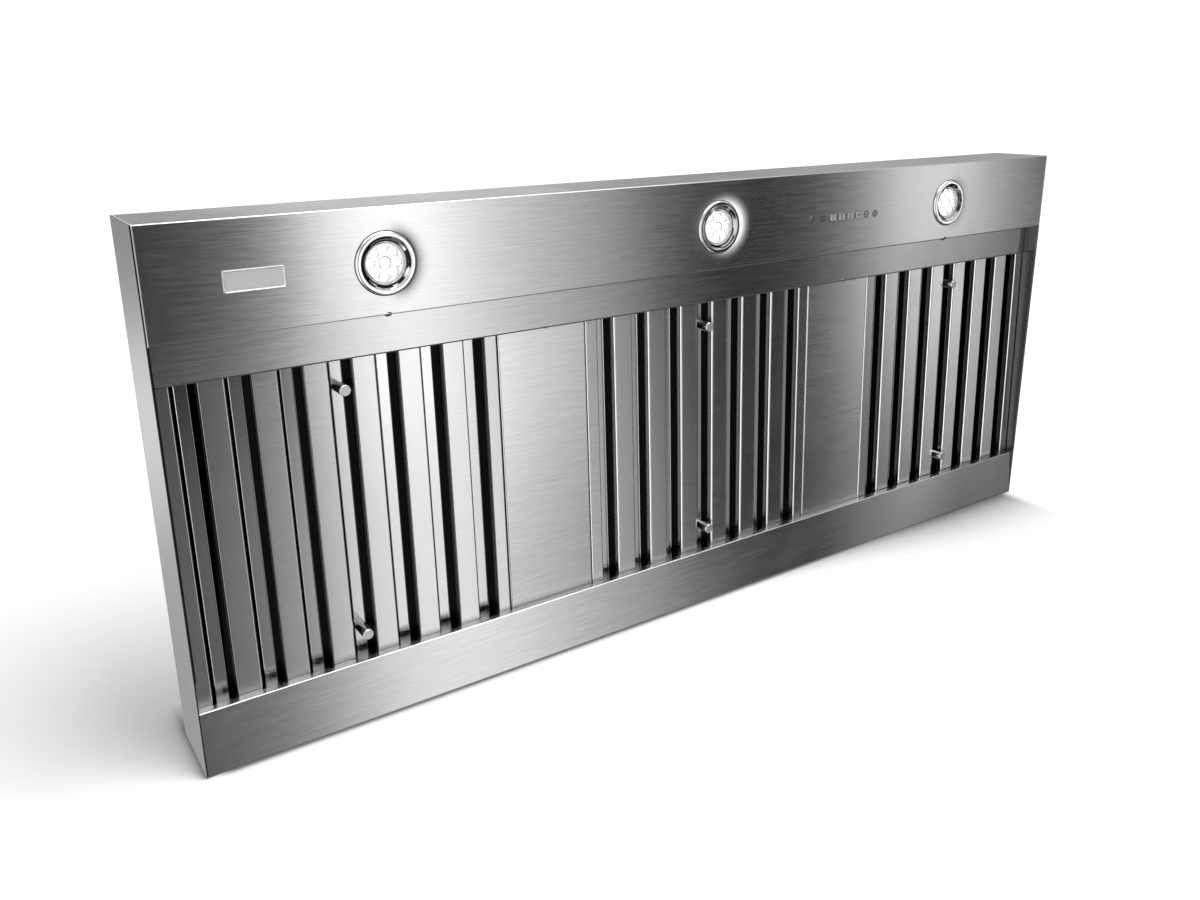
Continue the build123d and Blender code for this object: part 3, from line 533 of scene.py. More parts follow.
@dataclass(frozen=True)
class TurnedMetal(Finish):
    """Lathe-turned metal with rings on its end faces, for two equal knobs one above the other."""

    centre: tuple[float, float, float] = (0.0, 0.0, 0.0)
    apart: float = 0.0
    tone: float = 0.65
    roughness: float = 0.28

    def build(self, effects: SharedEffects) -> bpy.types.Material:
        """Makes the material from the shared effects and returns it."""
        material, graph, shader = self.material()
        half = self.apart / 2.0
        folded = graph.vector("ABSOLUTE", graph.place((0.0, 0.0, self.centre[2])))
        split = graph.add("ShaderNodeSeparateXYZ")
        graph.feed(split.inputs[0], folded)
        across = graph.add("ShaderNodeSeparateXYZ")
        graph.feed(across.inputs[0], graph.place(self.centre))
        point = graph.add("ShaderNodeCombineXYZ")
        graph.feed(point.inputs["X"], across.outputs["X"])
        graph.feed(point.inputs["Z"], graph.math("SUBTRACT", split.outputs["Z"], half))
        rings = self.effect(graph, effects.turned, point.outputs[0]).outputs["Rings"]
        mask = graph.ramp(rings, 0.1, 0.9, 0.0, 1.0)
        graph.feed(shader.inputs["Base Color"], graph.mix(mask, grey(self.tone * 0.9), grey(self.tone * 1.08)))
        graph.feed(shader.inputs["Roughness"], graph.ramp(mask, 0.0, 1.0, self.roughness * 0.85, self.roughness * 1.2))
        self.bump(graph, shader, rings, 0.12, 0.0001)
        shader.inputs["Metallic"].default_value = 1.0
        return material


@dataclass(frozen=True)
class Galvanised(Finish):
    """Hot-dipped sheet with its zinc flower."""

    tone: float = 0.52
    roughness: float = 0.38

    def build(self, effects: SharedEffects) -> bpy.types.Material:
        """Makes the material from the shared effects and returns it."""
        material, graph, shader = self.material()
        point = graph.place()
        flower = self.effect(graph, effects.spangle, point)
        smudge = self.effect(graph, effects.smudge, point)
        crystal = flower.outputs["Crystal"]
        graph.feed(shader.inputs["Base Color"],
                   graph.mix(crystal, grey(self.tone * 0.84, -0.02), grey(self.tone * 1.14, -0.01)))
        rough = graph.ramp(crystal, 0.0, 1.0, self.roughness * 0.8, self.roughness * 1.25)
        graph.feed(shader.inputs["Roughness"], graph.math("MULTIPLY_ADD", smudge.outputs["Mask"], 0.08, rough))
        self.bump(graph, shader, flower.outputs["Edge"], 0.06, 0.0002)
        shader.inputs["Metallic"].default_value = 0.9
        return material


@dataclass(frozen=True)
class Moulded(Finish):
    """Moulded plastic or solder-masked board with a fine texture."""

    colour: tuple[float, float, float] = (0.04, 0.04, 0.045)
    roughness: float = 0.5
    grain_scale: float = 1400.0
    relief: float = 0.1

    def build(self, effects: SharedEffects) -> bpy.types.Material:
        """Makes the material from the shared effects and returns it."""
        material, graph, shader = self.material()
        point = graph.place()
        speck = graph.noise(point, self.grain_scale, 3.0)
        smudge = self.effect(graph, effects.smudge, point)
        dark = tuple(part * 0.88 for part in self.colour) + (1.0,)
        light = tuple(min(1.0, part * 1.12) for part in self.colour) + (1.0,)
        graph.feed(shader.inputs["Base Color"], graph.mix(speck, dark, light))
        rough = graph.ramp(speck, 0.3, 0.7, self.roughness * 0.9, self.roughness * 1.1)
        graph.feed(shader.inputs["Roughness"], graph.math("MULTIPLY_ADD", smudge.outputs["Mask"], 0.06, rough))
        self.bump(graph, shader, speck, self.relief, 0.0001)
        return material


@dataclass(frozen=True)
class GlareRingMetal(Finish):
    """Black chrome of a lamp's inner ring, with bright reflections painted into its colour round the ring."""

    centre: tuple[float, float] = (0.0, 0.0)
    bright: float = 0.8
    start: float = 0.5
    row: float = 0.00147

    def build(self, effects: SharedEffects) -> bpy.types.Material:
        """Makes the material from the shared effects and returns it."""
        material, graph, shader = self.material()
        x, z = self.centre
        point = graph.place((x, 0.0, z))
        flat = graph.vector("MULTIPLY", point, (1.0, 0.0, 1.0))
        length = graph.add("ShaderNodeVectorMath", operation="LENGTH")
        graph.feed(length.inputs[0], flat)
        row = graph.math("FLOOR", graph.math("DIVIDE", length.outputs["Value"], self.row))
        rows = graph.vector("MULTIPLY_ADD", graph.vector("NORMALIZE", flat), (0.8, 0.8, 0.8), (x * 7.0, 0.0, 4.0))
        lifted = graph.add("ShaderNodeCombineXYZ")
        graph.feed(lifted.inputs["Y"], graph.math("MULTIPLY", row, 0.9))
        turned = graph.vector("ADD", rows, lifted.outputs["Vector"])
        # Painted reflections: bright streaks in the base colour round the ring.
        painted_reflection_arcs = graph.ramp(graph.noise(turned, 1.8, 1.0), self.start, self.start + 0.07, 0.0, 1.0, smooth=True)
        smudge = self.effect(graph, effects.smudge, point)
        graph.feed(shader.inputs["Base Color"], graph.mix(painted_reflection_arcs, grey(0.015), grey(self.bright)))
        graph.feed(shader.inputs["Roughness"], graph.math("MULTIPLY_ADD", smudge.outputs["Mask"], 0.06, 0.12))
        shader.inputs["Metallic"].default_value = 1.0
        return material


@dataclass(frozen=True)
class NumberButtonMetal(Finish):
    """Bright square faces with a dark edge, repeated at the buttons' pitch."""

    first: tuple[float, float] = (0.0, 0.0)
    pitch: float = 0.0163
    half_width: float = 0.0052
    half_height: float = 0.0036

    def build(self, effects: SharedEffects) -> bpy.types.Material:
        """Makes the material from the shared effects and returns it."""
        material, graph, shader = self.material()
        x, z = self.first
        point = graph.place((x, 0.0, z))
        split = graph.add("ShaderNodeSeparateXYZ")
        graph.feed(split.inputs[0], point)
        turns = graph.math("DIVIDE", split.outputs["X"], self.pitch)
        off = graph.math("MULTIPLY", graph.math("SUBTRACT", turns, graph.math("ROUND", turns)), self.pitch)
        soft = 0.0006
        wide = graph.ramp(graph.math("ABSOLUTE", off), self.half_width, self.half_width + soft, 1.0, 0.0)
        tall = graph.ramp(graph.math("ABSOLUTE", split.outputs["Z"]), self.half_height, self.half_height + soft, 1.0, 0.0)
        face = graph.math("MULTIPLY", wide, tall)
        speck = graph.noise(point, 900.0, 3.0)
        smudge = self.effect(graph, effects.smudge, point)
        graph.feed(shader.inputs["Base Color"], graph.mix(face, grey(0.12), graph.mix(speck, grey(0.66), grey(0.76))))
        graph.feed(shader.inputs["Roughness"], graph.math("MULTIPLY_ADD", smudge.outputs["Mask"], 0.05, 0.45))
        self.bump(graph, shader, speck, 0.05, 0.0001)
        shader.inputs["Metallic"].default_value = 1.0
        return material


@dataclass(frozen=True)
class ClearLens(Finish):
    """Clear moulded lens with a faint haze."""

    roughness: float = 0.03

    def build(self, effects: SharedEffects) -> bpy.types.Material:
        """Makes the material from the shared effects and returns it."""
        material, graph, shader = self.material()
        point = graph.place()
        haze = graph.noise(point, 500.0, 2.0)
        smudge = self.effect(graph, effects.smudge, point)
        graph.feed(shader.inputs["Base Color"], graph.mix(haze, (0.96, 0.98, 0.99, 1.0), (1.0, 1.0, 1.0, 1.0)))
        graph.feed(shader.inputs["Roughness"],
                   graph.math("MULTIPLY_ADD", smudge.outputs["Mask"], 0.04, self.roughness))
        shader.inputs["Transmission Weight"].default_value = 1.0
        shader.inputs["IOR"].default_value = 1.49
        return material


@dataclass(frozen=True)
class LitBoard(Finish):
    """White board of a light with a ring of glowing emitters, painted glare round them and painted shade between them.
    """

    centre: tuple[float, float, float] = (0.0, 0.0, 0.0)
    ring: float = 0.014
    count: int = 8
    emitter: float = 0.0032
    glow: float = 1.5

    def build(self, effects: SharedEffects) -> bpy.types.Material:
        """Makes the material.

        Args:
            effects: The shared node groups; not used.

        Returns:
            The finished material.
        """
        material, graph, shader = self.material()
        point = graph.place(self.centre)
        split = graph.add("ShaderNodeSeparateXYZ")
        graph.feed(split.inputs[0], point)
        flat = graph.vector("MULTIPLY", point, (1.0, 0.0, 1.0))
        length = graph.add("ShaderNodeVectorMath", operation="LENGTH")
        graph.feed(length.inputs[0], flat)
        radius = length.outputs["Value"]
        turn = graph.math("ARCTAN2", split.outputs["Z"], split.outputs["X"])
        step = 2.0 * math.pi / self.count
        nearest = graph.math("MULTIPLY", graph.math("ROUND", graph.math("DIVIDE", turn, step)), step)
        off_turn = graph.math("MULTIPLY", graph.math("SUBTRACT", turn, nearest), self.ring)
        off_ring = graph.math("SUBTRACT", radius, self.ring)
        gap = graph.math("SQRT", graph.math("ADD", graph.math("MULTIPLY", off_turn, off_turn),
                                            graph.math("MULTIPLY", off_ring, off_ring)))
        lamp = graph.ramp(gap, self.emitter * 0.8, self.emitter * 1.6, 1.0, 0.0, smooth=True)
        middle = graph.ramp(radius, self.ring * 0.6, self.ring * 1.1, 1.0, 0.0, smooth=True)
        rim = graph.ramp(radius, self.ring * 1.15, self.ring * 1.6, 1.0, 0.0, smooth=True)
        between = graph.math("ABSOLUTE", graph.math("SUBTRACT", graph.math("ABSOLUTE", off_turn), self.ring * step / 2.0))
        patch_gap = graph.math("ADD", between, graph.math("ABSOLUTE", graph.math("SUBTRACT", off_ring, 0.0015)))
        painted_shade_patch = graph.ramp(patch_gap, 0.0012, 0.0042, 1.0, 0.0, smooth=True)
        speck = graph.noise(point, 700.0, 2.0)
        board = graph.mix(speck, grey(0.5), grey(0.58))
        graph.feed(shader.inputs["Base Color"], graph.mix(lamp, board, (1.0, 0.97, 0.88, 1.0)))
        graph.feed(shader.inputs["Roughness"], graph.ramp(speck, 0.3, 0.7, 0.4, 0.55))
        # Painted glare and shade: besides its emitters the board glows faintly all over and round its rim, and dim
        # spots between the emitters stand in for the cups' shade.
        lit = graph.math("MAXIMUM", graph.math("MAXIMUM", lamp, middle), graph.math("MULTIPLY", rim, 0.62))
        lit = graph.math("MULTIPLY", lit, graph.math("SUBTRACT", 1.0, graph.math("MULTIPLY", painted_shade_patch, 0.8)))
        graph.feed(shader.inputs["Emission Color"], graph.mix(lit, grey(0.2), (1.0, 0.99, 0.96, 1.0)))
        shader.inputs["Emission Strength"].default_value = self.glow
        return material


# ---------------------------------------------------------------------------
# Studio and camera
# ---------------------------------------------------------------------------

@dataclass
class PhotoCamera:
    """The camera, solved from the corners and edges in the photograph."""

    place: Vector = field(default_factory=lambda: Vector((-0.82199, -1.0309, 0.67397)))
    turn: tuple[float, float, float] = (73.2014, 0.5448, -34.0416)
    lens: float = 30.650
    shift: tuple[float, float] = (-0.0006, -0.0473)

    def build(self) -> bpy.types.Object:
        """Makes the camera, puts it in charge and returns it."""
        data = bpy.data.cameras.new("photo_camera")
        data.lens = self.lens
        data.sensor_width = 36.0
        data.shift_x, data.shift_y = self.shift
        data.clip_start = 0.01
        camera = bpy.data.objects.new("photo_camera", data)
        camera.location = self.place
        camera.rotation_euler = Euler([math.radians(part) for part in self.turn], "XYZ")
        bpy.context.scene.collection.objects.link(camera)
        bpy.context.scene.camera = camera
        return camera


@dataclass
class Studio:
    """Pale floor, soft light from above and behind, and a sky that gives the steel its soft bands."""

    floor_half: float = 12.0
    floor_colour: float = 0.88
    front_edge: float = -0.0715
    key_strength: float = 3.4
    key_from: tuple[float, float, float] = (0.5, -0.42, 0.8)
    key_spread: float = 52.0
    fill: float = 0.5
    upper: float = 0.7
    ceiling: float = 4.2
    ground: float = 0.15
    front_high: list[tuple[float, float]] = field(default_factory=lambda: [
        (0.0, 0.02), (11.0, 0.02), (15.0, 0.12), (19.0, 1.5), (23.0, 2.0), (26.0, 1.3), (31.0, 0.75),
        (35.5, 0.42), (38.5, 0.06), (42.0, 0.01), (45.5, 0.03), (49.0, 0.4), (51.5, 1.5), (53.5, 1.15),
        (54.6, 0.85), (55.6, 0.38), (57.0, 0.12), (64.0, 0.08), (75.0, 0.12), (90.0, 0.2)])
    front_low: list[tuple[float, float]] = field(default_factory=lambda: [
        (0.0, 0.1), (9.0, 0.15), (16.0, 0.5), (22.0, 1.25), (26.0, 1.15), (31.0, 0.75), (36.0, 0.45),
        (40.0, 0.04), (44.0, 0.005), (46.5, 0.05), (48.5, 0.38), (50.5, 0.42), (53.0, 0.12), (56.0, 0.03), (64.0, 0.04),
        (90.0, 0.2)])
    left: list[tuple[float, float]] = field(default_factory=lambda: [
        (0.0, 0.03), (8.0, 0.1), (20.0, 0.9), (35.0, 1.3), (60.0, 1.4), (90.0, 1.3)])
    back: list[tuple[float, float]] = field(default_factory=lambda: [
        (0.0, 0.23), (10.0, 0.24), (25.0, 0.55), (39.0, 0.27), (49.0, 0.45), (56.0, 0.4), (75.0, 0.3),
        (90.0, 0.2)])
    wall: list[tuple[float, float]] = field(default_factory=lambda: [
        (0.0, 0.3), (8.0, 0.38), (11.5, 0.62), (16.0, 0.95), (19.5, 0.85), (22.0, 0.66), (25.0, 0.5),
        (34.0, 0.43), (90.0, 0.3)])

    def build(self) -> None:
        """Makes the floor, the lights and the sky."""
        self._floor()
        self._key()
        self._sky()
        bpy.context.scene.view_settings.view_transform = "Standard"
        bpy.context.scene.view_settings.look = "None"

    def _floor(self) -> None:
        """Lays the pale floor."""
        mesh = bpy.data.meshes.new("studio_floor")
        grid = bmesh.new()
        bmesh.ops.create_grid(grid, x_segments=1, y_segments=1, size=self.floor_half)
        grid.to_mesh(mesh)
        grid.free()
        floor = bpy.data.objects.new("studio_floor", mesh)
        bpy.context.scene.collection.objects.link(floor)
        floor.location.z = -0.0004
        floor.visible_glossy = False
        material = bpy.data.materials.new("studio_paper")
        material.use_nodes = True
        graph = Graph(material.node_tree)
        shader = next(n for n in material.node_tree.nodes if n.type == "BSDF_PRINCIPLED")
        fibre = graph.noise(graph.place(), 40.0, 2.0)
        paper = graph.mix(fibre, grey(self.floor_colour - 0.01), grey(self.floor_colour + 0.01))
        # Painted shadow: the floor's colour darkens along the hood's lower front edge and left wall.
        graph.feed(shader.inputs["Base Color"], graph.mix(self._contact(graph), paper, grey(0.1)))
        shader.inputs["Roughness"].default_value = 1.0
        shader.inputs["Specular IOR Level"].default_value = 0.0
        floor.data.materials.append(material)

    def _contact(self, graph: Graph) -> bpy.types.NodeSocket:
        """Gives the painted shadow on the floor along the hood's lower front edge, wider towards its right end.

        A narrower painted shadow runs beside its left wall.
        """
        split = graph.add("ShaderNodeSeparateXYZ")
        graph.feed(split.inputs[0], graph.place((0.0, self.front_edge, 0.0)))
        along = split.outputs["X"]
        ahead = graph.math("MAXIMUM", graph.math("MULTIPLY", split.outputs["Y"], -1.0), 0.0)
        front = graph.ramp(split.outputs["Y"], 0.0, 0.03, 1.0, 0.0)
        close = graph.math("MULTIPLY", graph.math("EXPONENT", graph.math("MULTIPLY", ahead, -1.0 / 0.005)), 0.9)
        aside = graph.math("MAXIMUM", graph.math("SUBTRACT", graph.math("MULTIPLY", along, -1.0), 0.665), 0.0)
        side = graph.math("MULTIPLY", graph.math("EXPONENT", graph.math("MULTIPLY", aside, -1.0 / 0.006)), 0.8)
        beside = graph.math("MULTIPLY", graph.ramp(split.outputs["Y"], -0.002, 0.004, 0.0, 1.0),
                            graph.ramp(split.outputs["Y"], 0.1, 0.16, 1.0, 0.0))
        side = graph.math("MULTIPLY", graph.math("MULTIPLY", side, beside), graph.ramp(along, -0.66, -0.6, 1.0, 0.0))
        wide = graph.ramp(along, 0.0, 0.55, 0.012, 0.06, smooth=True)
        deep = graph.ramp(along, -0.2, 0.5, 0.1, 0.95, smooth=True)
        soft = graph.math("MULTIPLY", graph.math("EXPONENT", graph.math("DIVIDE", graph.math("MULTIPLY", ahead, -1.0), wide)),
                          deep)
        ends = graph.ramp(graph.math("ABSOLUTE", along), 0.635, 0.67, 1.0, 0.0, smooth=True)
        shade = graph.math("MULTIPLY", graph.math("MULTIPLY", graph.math("MAXIMUM", close, soft), ends), front)
        return graph.math("MAXIMUM", shade, side)

    def _key(self) -> None:
        """Hangs the broad soft light in front of the hood, to the right, and leaves it out of reflections."""
        data = bpy.data.lights.new("key_softbox", "SUN")
        data.energy = self.key_strength
        data.angle = math.radians(self.key_spread)
        light = bpy.data.objects.new("key_softbox", data)
        light.rotation_euler = (-Vector(self.key_from)).to_track_quat("-Z", "Y").to_euler()
        light.visible_glossy = False
        bpy.context.scene.collection.objects.link(light)

    def _curve(self, graph: Graph, degrees: object, stops: list[tuple[float, float]]) -> bpy.types.NodeSocket:
        """Draws brightness over the angle from the Y axis.

        Args:
            graph: The sky's graph.
            degrees: The angle in degrees, from 0 to 90.
            stops: Angles and the brightness at each.

        Returns:
            The brightness.
        """
        node = graph.add("ShaderNodeFloatCurve")
        curve = node.mapping.curves[0]
        top = 2.0
        points = [(angle / 90.0, value / top) for angle, value in stops]
        curve.points[0].location = points[0]
        curve.points[1].location = points[-1]
        for spot in points[1:-1]:
            curve.points.new(*spot)
        node.mapping.update()
        graph.feed(node.inputs["Value"], graph.math("DIVIDE", degrees, 90.0))
        return graph.math("MULTIPLY", node.outputs["Value"], top)

    def _sky(self) -> None:
        """Makes the surroundings: white to the camera, soft bands in the steel."""
        world = bpy.data.worlds.new("studio_sky")
        bpy.context.scene.world = world
        world.use_nodes = True
        world.cycles.sampling_method = "NONE"
        graph = Graph(world.node_tree)
        background = next(n for n in world.node_tree.nodes if n.type == "BACKGROUND")
        split = graph.add("ShaderNodeSeparateXYZ")
        graph.feed(split.inputs[0], graph.add("ShaderNodeTexCoord").outputs["Generated"])
        across, deep, height = (split.outputs[axis] for axis in "XYZ")
        angle = graph.math("ARCTAN2", graph.math("ABSOLUTE", across), graph.math("ABSOLUTE", deep))
        degrees = graph.math("MULTIPLY", angle, 180.0 / math.pi)
        high = self._curve(graph, degrees, self.front_high)
        low = self._curve(graph, degrees, self.front_low)
        sunk = graph.math("MULTIPLY", graph.math("ARCSINE", graph.math("ABSOLUTE", height)), 180.0 / math.pi)
        right_rear = self._curve(graph, degrees, self.back)
        left_rear = self._curve(graph, sunk, self.wall)
        lift = graph.ramp(height, -0.36, -0.14, 0.0, 1.0, smooth=True)
        front = graph.math("ADD", graph.math("MULTIPLY", high, lift),
                           graph.math("MULTIPLY", low, graph.math("SUBTRACT", 1.0, lift)))
        left = self._curve(graph, degrees, self.left)
        right_side = graph.ramp(across, -0.03, 0.0, 0.0, 1.0, smooth=True)
        front = graph.math("ADD", graph.math("MULTIPLY", front, right_side),
                           graph.math("MULTIPLY", left, graph.math("SUBTRACT", 1.0, right_side)))
        rear = graph.math("ADD", graph.math("MULTIPLY", right_rear, right_side),
                          graph.math("MULTIPLY", left_rear, graph.math("SUBTRACT", 1.0, right_side)))
        behind = graph.ramp(deep, -0.05, 0.2, 0.0, 1.0, smooth=True)
        bands = graph.math("ADD", graph.math("MULTIPLY", rear, behind),
                           graph.math("MULTIPLY", front, graph.math("SUBTRACT", 1.0, behind)))
        for start, end, glow in ((0.3, 0.5, self.upper), (0.68, 0.88, self.ceiling), (-0.6, -0.85, self.ground)):
            share = graph.ramp(height, start, end, 0.0, 1.0, smooth=True)
            bands = graph.math("ADD", graph.math("MULTIPLY", bands, graph.math("SUBTRACT", 1.0, share)),
                               graph.math("MULTIPLY", share, glow))
        path = graph.add("ShaderNodeLightPath")
        plain = graph.math("ADD", graph.math("MULTIPLY", path.outputs["Is Camera Ray"], 1.02),
                           graph.math("MULTIPLY", path.outputs["Is Diffuse Ray"], self.fill))
        either = graph.math("ADD", path.outputs["Is Camera Ray"], path.outputs["Is Diffuse Ray"], clamp=True)
        shine = graph.math("MULTIPLY", bands, graph.math("SUBTRACT", 1.0, either))
        graph.feed(background.inputs["Strength"], graph.math("ADD", plain, shine))
        background.inputs["Color"].default_value = (1.0, 1.0, 1.0, 1.0)


# ---------------------------------------------------------------------------
# Mesh helpers
# ---------------------------------------------------------------------------

class Shape:
    """A mesh in the making, with operators that place it in the row's frame."""

    def __init__(self) -> None:
        """Starts an empty mesh."""
        self.bm = bmesh.new()

    def spin(self, profile: list[tuple[float, float]], centre: tuple[float, float, float],
             steps: int = 48) -> "Shape":
        """Turns a profile around an axis along Y.

        Args:
            profile: Points as radius and distance along Y from the centre, in order.
            centre: The point on the axis that the profile is measured from.
            steps: How many steps the full turn has.

        Returns:
            The same shape, for more calls.
        """
        x, y, z = centre
        points = [self.bm.verts.new((x + radius, y + along, z)) for radius, along in profile]
        edges = [self.bm.edges.new(pair) for pair in zip(points, points[1:])]
        bmesh.ops.spin(self.bm, geom=points + edges, cent=centre, axis=(0.0, 1.0, 0.0), dvec=(0.0, 0.0, 0.0),
                       angle=2.0 * math.pi, steps=steps, use_merge=True)
        bmesh.ops.remove_doubles(self.bm, verts=self.bm.verts[:], dist=1e-6)
        return self

    def block(self, centre: tuple[float, float, float], size: tuple[float, float, float],
              edge: float = 0.0, turn: float = 0.0, segments: int = 2) -> "Shape":
        """Adds a block with rounded edges, turned about Y.

        Args:
            centre: Its middle.
            size: Its lengths along X, Y and Z.
            edge: The radius of its edges, or 0.
            turn: Its turn about Y in degrees.
            segments: How many steps each rounded edge has.

        Returns:
            The same shape, for more calls.
        """
        made = bmesh.ops.create_cube(self.bm, size=1.0)["verts"]
        bmesh.ops.scale(self.bm, vec=size, verts=made)
        if edge > 0.0:
            edges = list({e for v in made for e in v.link_edges})
            done = bmesh.ops.bevel(self.bm, geom=edges, offset=edge, offset_type="OFFSET", segments=segments,
                                   profile=0.5, affect="EDGES", material=-1)
            made = list({v for f in done["faces"] for v in f.verts} | {v for v in made if v.is_valid})
        bmesh.ops.rotate(self.bm, cent=(0.0, 0.0, 0.0), matrix=Matrix.Rotation(math.radians(turn), 3, "Y"),
                         verts=made)
        bmesh.ops.translate(self.bm, vec=centre, verts=made)
        return self

    def copies(self, places: list[tuple[float, float, float]]) -> "Shape":
        """Repeats the whole shape at further offsets and keeps the first where it is."""
        first = self.bm.verts[:] + self.bm.edges[:] + self.bm.faces[:]
        for place in places:
            made = bmesh.ops.duplicate(self.bm, geom=first)["geom"]
            verts = [part for part in made if isinstance(part, bmesh.types.BMVert)]
            bmesh.ops.translate(self.bm, vec=place, verts=verts)
        return self

    def piece(self, name: str, material: bpy.types.Material, body: str, slot: str,
              replaces: tuple[str, ...] = (), sharp: float = 35.0) -> bpy.types.Object:
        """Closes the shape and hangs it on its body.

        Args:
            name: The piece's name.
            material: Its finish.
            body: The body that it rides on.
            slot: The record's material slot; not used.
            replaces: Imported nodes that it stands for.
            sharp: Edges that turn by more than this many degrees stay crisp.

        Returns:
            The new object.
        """
        bmesh.ops.recalc_face_normals(self.bm, faces=self.bm.faces[:])
        mesh = bpy.data.meshes.new(name)
        self.bm.to_mesh(mesh)
        self.bm.free()
        return hang(mesh, name, material, body, replaces, sharp)


def hang(mesh: bpy.types.Mesh, name: str, material: bpy.types.Material, body: str,
         replaces: tuple[str, ...] = (), sharp: float = 35.0) -> bpy.types.Object:
    """Makes a mesh into a piece that rides on a body.

    Args:
        mesh: The finished mesh, in place.
        name: The piece's name.
        material: Its finish.
        body: The body that it rides on.
        replaces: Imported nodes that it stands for.
        sharp: Edges that turn by more than this many degrees stay crisp.

    Returns:
        The new object.
    """
    mesh.name = name
    mesh.shade_smooth()
    mesh.set_sharp_from_angle(angle=math.radians(sharp))
    mesh.materials.clear()
    mesh.materials.append(material)
    made = bpy.data.objects.new(name, mesh)
    bpy.context.scene.collection.objects.link(made)
    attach(made, body)
    if replaces:
        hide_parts(*replaces)
    LOG.info("piece %s: %d faces, rides on %s", name, len(mesh.polygons), body)
    return made


# ---------------------------------------------------------------------------
# Fittings
# ---------------------------------------------------------------------------

@dataclass
class LightFitting:
    """The lit inside of one recessed light: its clear lens, its lamp cups and its glow."""

    number: int
    effects: SharedEffects
    lens_radius: float = 23.0 * MM
    ring_radius: float = 14.0 * MM
    cup_count: int = 8
    cup_radius: float = 4.3 * MM
    cup_wall: float = 0.5 * MM
    cone_radius: float = 27.45 * MM
    cone_foot: float = -69.8 * MM
    glare_radius: float = 26.4 * MM
    steps: int = 64

    def build(self, materials: dict[str, bpy.types.Material]) -> None:
        """Makes the light's pieces.

        Args:
            materials: The material of each slot.
        """
        low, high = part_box(f"light_{self.number}_lens")
        centre = (low + high) / 2.0
        self.x, self.z, self.front, self.back = centre.x, centre.z, low.y, high.y
        self._lens(materials["lens_clear"])
        self._board(materials)
        self._cups(materials)
        self._gaskets(materials["dark_plastic"])
        # The glare ring's painted reflection streaks start at this level; a higher level gives fewer.
        start = 0.5 if self.number == 1 else 0.44
        ring = GlareRingMetal(f"glare_ring_{self.number}", centre=(self.x, self.z), start=start)
        self._glare_ring(ring.build(self.effects))

    def _lens(self, material: bpy.types.Material) -> None:
        """Moulds the lens: a shallow dome with a stepped rim and a hollow back."""
        rim = self.lens_radius
        profile = [(0.0, 0.0), (0.35 * rim, 0.12 * MM), (0.6 * rim, 0.42 * MM), (0.76 * rim, 0.8 * MM),
                   (0.8 * rim, 1.25 * MM), (0.86 * rim, 1.3 * MM), (0.89 * rim, 1.0 * MM), (0.96 * rim, 1.15 * MM),
                   (rim, 1.6 * MM), (rim, self.back - self.front), (0.9 * rim, self.back - self.front),
                   (0.86 * rim, 2.3 * MM), (0.55 * rim, 1.6 * MM), (0.0, 1.25 * MM)]
        shape = Shape().spin(profile, (self.x, self.front, self.z), self.steps)
        shape.piece(f"light_{self.number}_clear_lens", material, "shell", "lens_clear",
                    replaces=(f"light_{self.number}_lens",))

    def _board(self, materials: dict[str, bpy.types.Material]) -> None:
        """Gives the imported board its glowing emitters."""
        board = bpy.data.objects[f"light_{self.number}_led_board"]
        lit = LitBoard(f"led_board_{self.number}", centre=(self.x, 0.0, self.z)).build(self.effects)
        board.material_slots[0].material = lit
        self.lit = lit

    def _cups(self, materials: dict[str, bpy.types.Material]) -> None:
        """Stands a bright cup round each emitter and a larger one in the middle."""
        depth = 0.9 * MM
        front = self.back - depth
        wall, radius = self.cup_wall, self.cup_radius
        cup = [(0.72 * radius, depth), (radius - wall, 0.0), (radius, 0.0), (0.72 * radius + wall, depth),
               (0.72 * radius, depth)]
        shape = Shape()
        for index in range(self.cup_count):
            turn = 2.0 * math.pi * index / self.cup_count
            middle = (self.x + self.ring_radius * math.cos(turn), front, self.z + self.ring_radius * math.sin(turn))
            shape.spin(cup, middle, 24)
        scale = 1.7
        shape.spin([(radius * part / radius * scale, along) for part, along in cup], (self.x, front, self.z), 32)
        shape.piece(f"light_{self.number}_lamp_cups", materials["can_aluminium"], "shell", "led_board")


    def _gaskets(self, rubber: bpy.types.Material) -> None:
        """Lays the rubber ring round the lens and the foam ring under the bezel's rim.

        They are dark rings that also stand in for the shade lines round the lens and round the bezel.
        """
        low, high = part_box(f"light_{self.number}_bezel")
        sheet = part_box("front_light_panel")[0].y
        outer = (high.x - low.x) / 2.0
        bead = 0.6 * MM
        ring = [(self.lens_radius - 0.7 * MM + bead * math.cos(turn), bead * math.sin(turn))
                for turn in (math.radians(30.0 * step) for step in range(13))]
        shape = Shape().spin(ring, (self.x, self.front + 0.4 * MM, self.z), self.steps)
        foam = [(outer - 3.0 * MM, -0.35 * MM), (outer + 0.5 * MM, -0.35 * MM), (outer + 0.8 * MM, -0.02 * MM),
                (outer - 3.0 * MM, -0.02 * MM), (outer - 3.0 * MM, -0.35 * MM)]
        shape.spin(foam, (self.x, sheet, self.z), self.steps)
        shape.piece(f"light_{self.number}_gaskets", rubber, "shell", "dark_plastic")

    def _glare_ring(self, black: bpy.types.Material) -> None:
        """Lays the black ring that covers the bezel's inner cone from its lip out to the bright flange.

        Its black stands in for the dark reflections in the cone.
        """
        low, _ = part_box(f"light_{self.number}_bezel")
        inner, outer = self.lens_radius - 0.9 * MM, self.glare_radius
        deep = self.cone_foot - low.y
        slope = deep / (self.cone_radius - inner)
        lift = 0.22 * MM
        face = [(radius, deep - (radius - inner) * slope - lift) for radius in (inner, (inner + outer) / 2.0, outer)]
        profile = face + [(outer + 0.1 * MM, face[-1][1] + 2.0 * lift), (inner, deep + lift), face[0]]
        Shape().spin(profile, (self.x, low.y, self.z), self.steps).piece(
            f"light_{self.number}_glare_ring", black, "shell", "dark_plastic")


